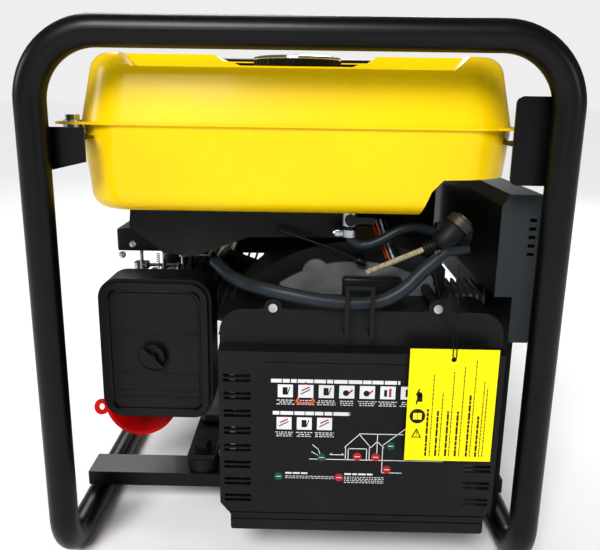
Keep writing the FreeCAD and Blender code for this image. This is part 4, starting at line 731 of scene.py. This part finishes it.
class GENERATOR_OT_solenoid(bpy.types.Operator):
    """Make the ribbed rubber boot with the starter solenoid on it"""
    bl_idname = "generator.solenoid"
    bl_label = "Solenoid and boot"

    def execute(self, context):
        start = Vector(STARTER_LEAD[0])
        way = (start - Vector(STARTER_LEAD[1])).normalized()
        up = Vector((0.66, 0.1, 0.74)).normalized()
        bm = bmesh.new()
        neck = [(0, 0), (5.0, 0)]
        for k in range(4):
            at = 3.4 * k
            neck += [(5.4, at + 0.8), (7.2, at + 1.4), (7.2, at + 2.8), (5.6, at + 3.4)]
        neck += [(6.4, 15), (8.8, 19), (11.4, 24), (12, 26), (9, 28), (0, 28)]
        lathe(bm, neck, start, way, 36)
        root = start + way * 22
        lathe(bm, [(0, -8), (9, -8), (12, -5), (13, 0), (13, 19), (12, 20.5), (0, 20.5)],
              root, up, 40)
        boot = build("lead_boot", bm, "frame", "wire_plastic", "black_rubber")
        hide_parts("starter_solenoid")
        bm = bmesh.new()
        lathe(bm, [(0, 20), (14.4, 20), (15, 20.8), (15, 29), (14, 30), (10.5, 30.2), (10.5, 32.6),
                   (9.5, 33), (0, 33)], root, up, 40)
        build("solenoid_can", bm, "frame", "wire_plastic", "hot_steel")
        return {"FINISHED"}


class GENERATOR_OT_carb_details(bpy.types.Operator):
    """Add springs, screws and posts round the carburettor linkage"""
    bl_idname = "generator.carb_details"
    bl_label = "Carburettor details"

    def execute(self, context):
        steps, per_turn = 61, 6
        circle = [360 * k / per_turn for k in range(steps)]
        idle = [(*round_point((-176, -158), 2.4, a), 294 + k * 0.42)
                for k, a in enumerate(circle)]
        strand("idle_spring", idle, 0.5, "frame", "zinc_plate")
        governor = [(-150 + k * 0.45, *round_point((-166, 321), 2.2, a))
                    for k, a in enumerate(circle)]
        strand("governor_spring", governor, 0.45, "frame", "zinc_plate")
        bm = bmesh.new()
        for x, y, z in ((-218, -164, 318), (-204, -165, 332), (-160, -165, 332)):
            drum(bm, (x, y, z), (x, y - 3, z), 4.2, steps=20, bevel=0.5)
            block(bm, (x - 3, y - 3.3, z - 0.5), (x + 3, y - 2.6, z + 0.5))
        y = -158
        for x in (-196, -168):
            drum(bm, (x, y, 291), (x, y, 326), 2.2, steps=16, bevel=0.4)
            drum(bm, (x, y, 323.4), (x, y, 327.5), 4.0, steps=6)
        x, z = -180, 296
        drum(bm, (x, y, z), (x, y - 14, z), 5.2, steps=24, bevel=0.8)
        drum(bm, (x, y - 14, z), (x, y - 16, z), 3.0, steps=20, bevel=0.4)
        build("linkage_screws", bm, "frame", "zinc_steel", "zinc_plate")
        return {"FINISHED"}


# Front of the panel's sheet. The faceplate's own box also holds the ground stud.
PANEL_FACE = 252.0
NEEDLE_DEGREES = 118
CAPTIONS = ((-196, 327), (-196, 272), (-110, 338), (10, 352), (130, 352), (222, 300))


def meter_trim():
    """Bezel, a scale of small squares on an arc, the needle and its hub."""
    _, y, z = middle_of("voltmeter")
    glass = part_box("voltmeter")[1][0] / MM
    pivot = (y, z - 8)
    bm = bmesh.new()
    lathe(bm, [(24, -0.2), (28, -0.2), (28, 1.2), (26.5, 1.8), (24.6, 1.4), (24, -0.2)],
          (glass, y, z), (1, 0, 0), 64)
    for k in range(21):
        inner, outer = 14.5 if k % 5 == 0 else 16.5, 19
        for step in range(4):
            at_y, at_z = round_point(pivot, inner + (outer - inner) * step / 3, 140 - 5 * k)
            block(bm, (glass - 0.05, at_y - 0.45, at_z - 0.45),
                  (glass + 0.15, at_y + 0.45, at_z + 0.45))
    for step in range(14):
        at_y, at_z = round_point(pivot, 1.3 * step, NEEDLE_DEGREES)
        block(bm, (glass - 0.05, at_y - 0.6, at_z - 0.7), (glass + 0.25, at_y + 0.6, at_z + 0.7))
    drum(bm, (glass - 0.1, *pivot), (glass + 0.8, *pivot), 3.0, steps=24, bevel=0.3)
    build("meter_trim", bm, "frame", "panel_grey", "smooth_abs")


def panel_screws():
    """Six round-headed screws that hold the faceplate."""
    low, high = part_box("control_faceplate")
    edge = 9
    bm = bmesh.new()
    for y in (low[1] / MM + edge, -18, high[1] / MM - edge):
        for z in (low[2] / MM + edge, high[2] / MM - edge):
            lathe(bm, [(0, -0.2), (3.8, -0.2), (3.8, 0.6), (2.8, 1.8), (0, 2.2)],
                  (PANEL_FACE, y, z), (1, 0, 0), 20)
    build("panel_screws", bm, "frame", "zinc_steel", "zinc_plate")


def panel_captions():
    """Rows of blank strips where a panel has its captions."""
    draws = random.Random(3)
    bm = bmesh.new()
    for y, z in CAPTIONS:
        at = y - 17
        while at < y + 15:
            stop = at + draws.uniform(4, 9)
            block(bm, (PANEL_FACE - 0.05, at, z), (PANEL_FACE + 0.2, stop, z + 2.4))
            at = stop + 1.2
    build("panel_captions", bm, "frame", "plate_print", "print_white")


class GENERATOR_OT_panel_details(bpy.types.Operator):
    """Add the meter's bezel, scale and needle, and the panel's screws and caption strips"""
    bl_idname = "generator.panel_details"
    bl_label = "Panel details"

    def execute(self, context):
        meter_trim()
        panel_screws()
        panel_captions()
        return {"FINISHED"}


class GENERATOR_OT_heat_shield(bpy.types.Operator):
    """Make the black sheet that screens the tank and the wires from the exhaust"""
    bl_idname = "generator.heat_shield"
    bl_label = "Heat shield"

    def execute(self, context):
        middle = Vector((0.052, 0.053, 0.331))
        bm = bmesh.new()
        bmesh.ops.create_grid(bm, x_segments=12, y_segments=8, size=0.5)
        place = (Matrix.Translation(middle) @ Matrix.Rotation(math.pi / 2, 4, "X")
                 @ Matrix.Diagonal((0.305, 0.114, 1, 1)))
        bmesh.ops.transform(bm, matrix=place, verts=bm.verts[:])
        centres = {f: f.calc_center_median() - middle for f in bm.faces}
        inner = [f for f, at in centres.items() if abs(at.x) < 0.11 and abs(at.z) < 0.035]
        bmesh.ops.inset_region(bm, faces=inner, thickness=0.004, depth=-0.003)
        bmesh.ops.solidify(bm, geom=bm.faces[:], thickness=0.0012)
        build("heat_shield", bm, "frame", "sheet_black", "painted_sheet")
        return {"FINISHED"}


STUDIO_AIM = Vector((0, 0, 0.3))
# Soft lamps: place in metres, side in metres and power in watts.
LAMPS = (("key", (-0.7, -2.6, 1.9), 0.8, 14), ("fill", (1.9, -1.6, 1.0), 0.6, 5),
         ("side", (-2.2, -0.4, 1.1), 0.6, 6), ("back", (0.4, 2.6, 1.5), 0.9, 16))
# Suns: angles in degrees and strength.
SUNS = (("sun_front", (50, 0, -14), 2.1), ("sun_back", (-50, 0, 15), 0.8))
SUN_SPREAD = 24
CAMERA_PLACE = (0.01116, -0.97685, 0.50602)
CAMERA_PITCH, CAMERA_YAW, CAMERA_ROLL = 14.51, -0.64, 0.87
CAMERA_LENS, CAMERA_SENSOR = 40.476, 36


def studio_floor(scene):
    """Matt white floor, a little below the rails."""
    made = bpy.data.materials.new("studio_floor")
    made.use_nodes = True
    tree = made.node_tree
    shader = tree.nodes["Principled BSDF"]
    where = add(tree, "TexCoord").outputs["Object"]
    cloud = add(tree, "TexNoise", {"Vector": where, "Scale": 2.0})
    tone = add(tree, "MapRange",
               {"Value": cloud.outputs["Fac"], "To Min": 0.95, "To Max": 0.97})
    tree.links.new(tone.outputs["Result"], shader.inputs["Base Color"])
    shader.inputs["Roughness"].default_value = 0.9
    bm = bmesh.new()
    bmesh.ops.create_grid(bm, x_segments=2, y_segments=2, size=60.0)
    mesh = bpy.data.meshes.new("floor")
    bm.to_mesh(mesh)
    bm.free()
    mesh.transform(Matrix.Translation((0, 0, -0.0005)))
    mesh.materials.append(made)
    floor = bpy.data.objects.new("floor", mesh)
    scene.collection.objects.link(floor)


def studio_world(scene):
    """Dim room light, and a near white backdrop that only the camera sees."""
    world = bpy.data.worlds.new("studio")
    world.use_nodes = True
    tree = world.node_tree
    room = tree.nodes["Background"]
    room.inputs["Color"].default_value = (0.86, 0.88, 0.9, 1)
    room.inputs["Strength"].default_value = 0.16
    backdrop = add(tree, "Background", {"Color": (0.95, 0.95, 0.95, 1), "Strength": 0.76})
    seen = add(tree, "LightPath").outputs["Is Camera Ray"]
    both = add(tree, "MixShader", {0: seen, 1: room.outputs[0], 2: backdrop.outputs[0]})
    tree.links.new(both.outputs[0], tree.nodes["World Output"].inputs["Surface"])
    scene.world = world
    scene.view_settings.view_transform = "Standard"
    scene.view_settings.look = "Medium High Contrast"


def studio_lights(scene):
    """Four soft lamps and two wide suns."""
    for name, place, side, power in LAMPS:
        light = bpy.data.lights.new(name, "AREA")
        light.size = side
        light.energy = power
        lamp = bpy.data.objects.new(name, light)
        lamp.location = place
        lamp.rotation_euler = (STUDIO_AIM - Vector(place)).to_track_quat("-Z", "Y").to_euler()
        scene.collection.objects.link(lamp)
    for name, angles, strength in SUNS:
        light = bpy.data.lights.new(name, "SUN")
        light.energy = strength
        light.angle = math.radians(SUN_SPREAD)
        lamp = bpy.data.objects.new(name, light)
        lamp.rotation_euler = [math.radians(a) for a in angles]
        scene.collection.objects.link(lamp)


def studio_camera(scene):
    """Camera in front of the short end, looking slightly down."""
    pitch, yaw, roll = (math.radians(a) for a in (CAMERA_PITCH, CAMERA_YAW, CAMERA_ROLL))
    ahead = Vector((math.sin(yaw) * math.cos(pitch), math.cos(yaw) * math.cos(pitch),
                    -math.sin(pitch)))
    right = Vector((math.cos(yaw), -math.sin(yaw), 0))
    above = right.cross(ahead)
    right_rolled = math.cos(roll) * right + math.sin(roll) * above
    above_rolled = -math.sin(roll) * right + math.cos(roll) * above
    turn = Matrix((right_rolled, above_rolled, -ahead)).transposed().to_4x4()
    data = bpy.data.cameras.new("camera")
    data.sensor_width = CAMERA_SENSOR
    data.lens = CAMERA_LENS
    camera = bpy.data.objects.new("camera", data)
    camera.matrix_world = Matrix.Translation(CAMERA_PLACE) @ turn
    scene.collection.objects.link(camera)
    scene.camera = camera


class GENERATOR_OT_stage(bpy.types.Operator):
    """Make the floor, the studio lights and the camera"""
    bl_idname = "generator.stage"
    bl_label = "Stage"

    def execute(self, context):
        studio_floor(context.scene)
        studio_world(context.scene)
        studio_lights(context.scene)
        studio_camera(context.scene)
        return {"FINISHED"}


class GENERATOR_PT_panel(bpy.types.Panel):
    """Lists the steps and settings of the generator"""
    bl_idname = "GENERATOR_PT_panel"
    bl_label = "Generator"
    bl_space_type = "VIEW_3D"
    bl_region_type = "UI"
    bl_category = "Generator"

    def draw(self, context):
        for step in STEPS:
            self.layout.operator(step.bl_idname)
        for group in (context.scene.generator_finishes, context.scene.generator_sizes):
            for name in group.bl_rna.properties.keys():
                if name not in ("rna_type", "name"):
                    self.layout.prop(group, name)


STEPS = (GENERATOR_OT_finishes, GENERATOR_OT_stage, GENERATOR_OT_tag_string,
         GENERATOR_OT_tag_print, GENERATOR_OT_plate_print, GENERATOR_OT_fuel_cap,
         GENERATOR_OT_air_filter, GENERATOR_OT_wiring, GENERATOR_OT_solenoid,
         GENERATOR_OT_carb_details, GENERATOR_OT_panel_details, GENERATOR_OT_heat_shield)
CLASSES = (FinishSettings, SizeSettings) + STEPS + (GENERATOR_PT_panel,)


def register():
    for item in CLASSES:
        bpy.utils.register_class(item)
    bpy.types.Scene.generator_finishes = PointerProperty(type=FinishSettings)
    bpy.types.Scene.generator_sizes = PointerProperty(type=SizeSettings)


def unregister():
    del bpy.types.Scene.generator_sizes
    del bpy.types.Scene.generator_finishes
    for item in reversed(CLASSES):
        bpy.utils.unregister_class(item)


def main():
    register()
    bpy.ops.generator.finishes()
    bpy.ops.generator.stage()
    bpy.ops.generator.tag_string()
    bpy.ops.generator.tag_print()
    bpy.ops.generator.plate_print()
    bpy.ops.generator.fuel_cap()
    bpy.ops.generator.air_filter()
    bpy.ops.generator.wiring()
    bpy.ops.generator.solenoid()
    bpy.ops.generator.carb_details()
    bpy.ops.generator.panel_details()
    bpy.ops.generator.heat_shield()


if __name__ == "__main__":
    main()
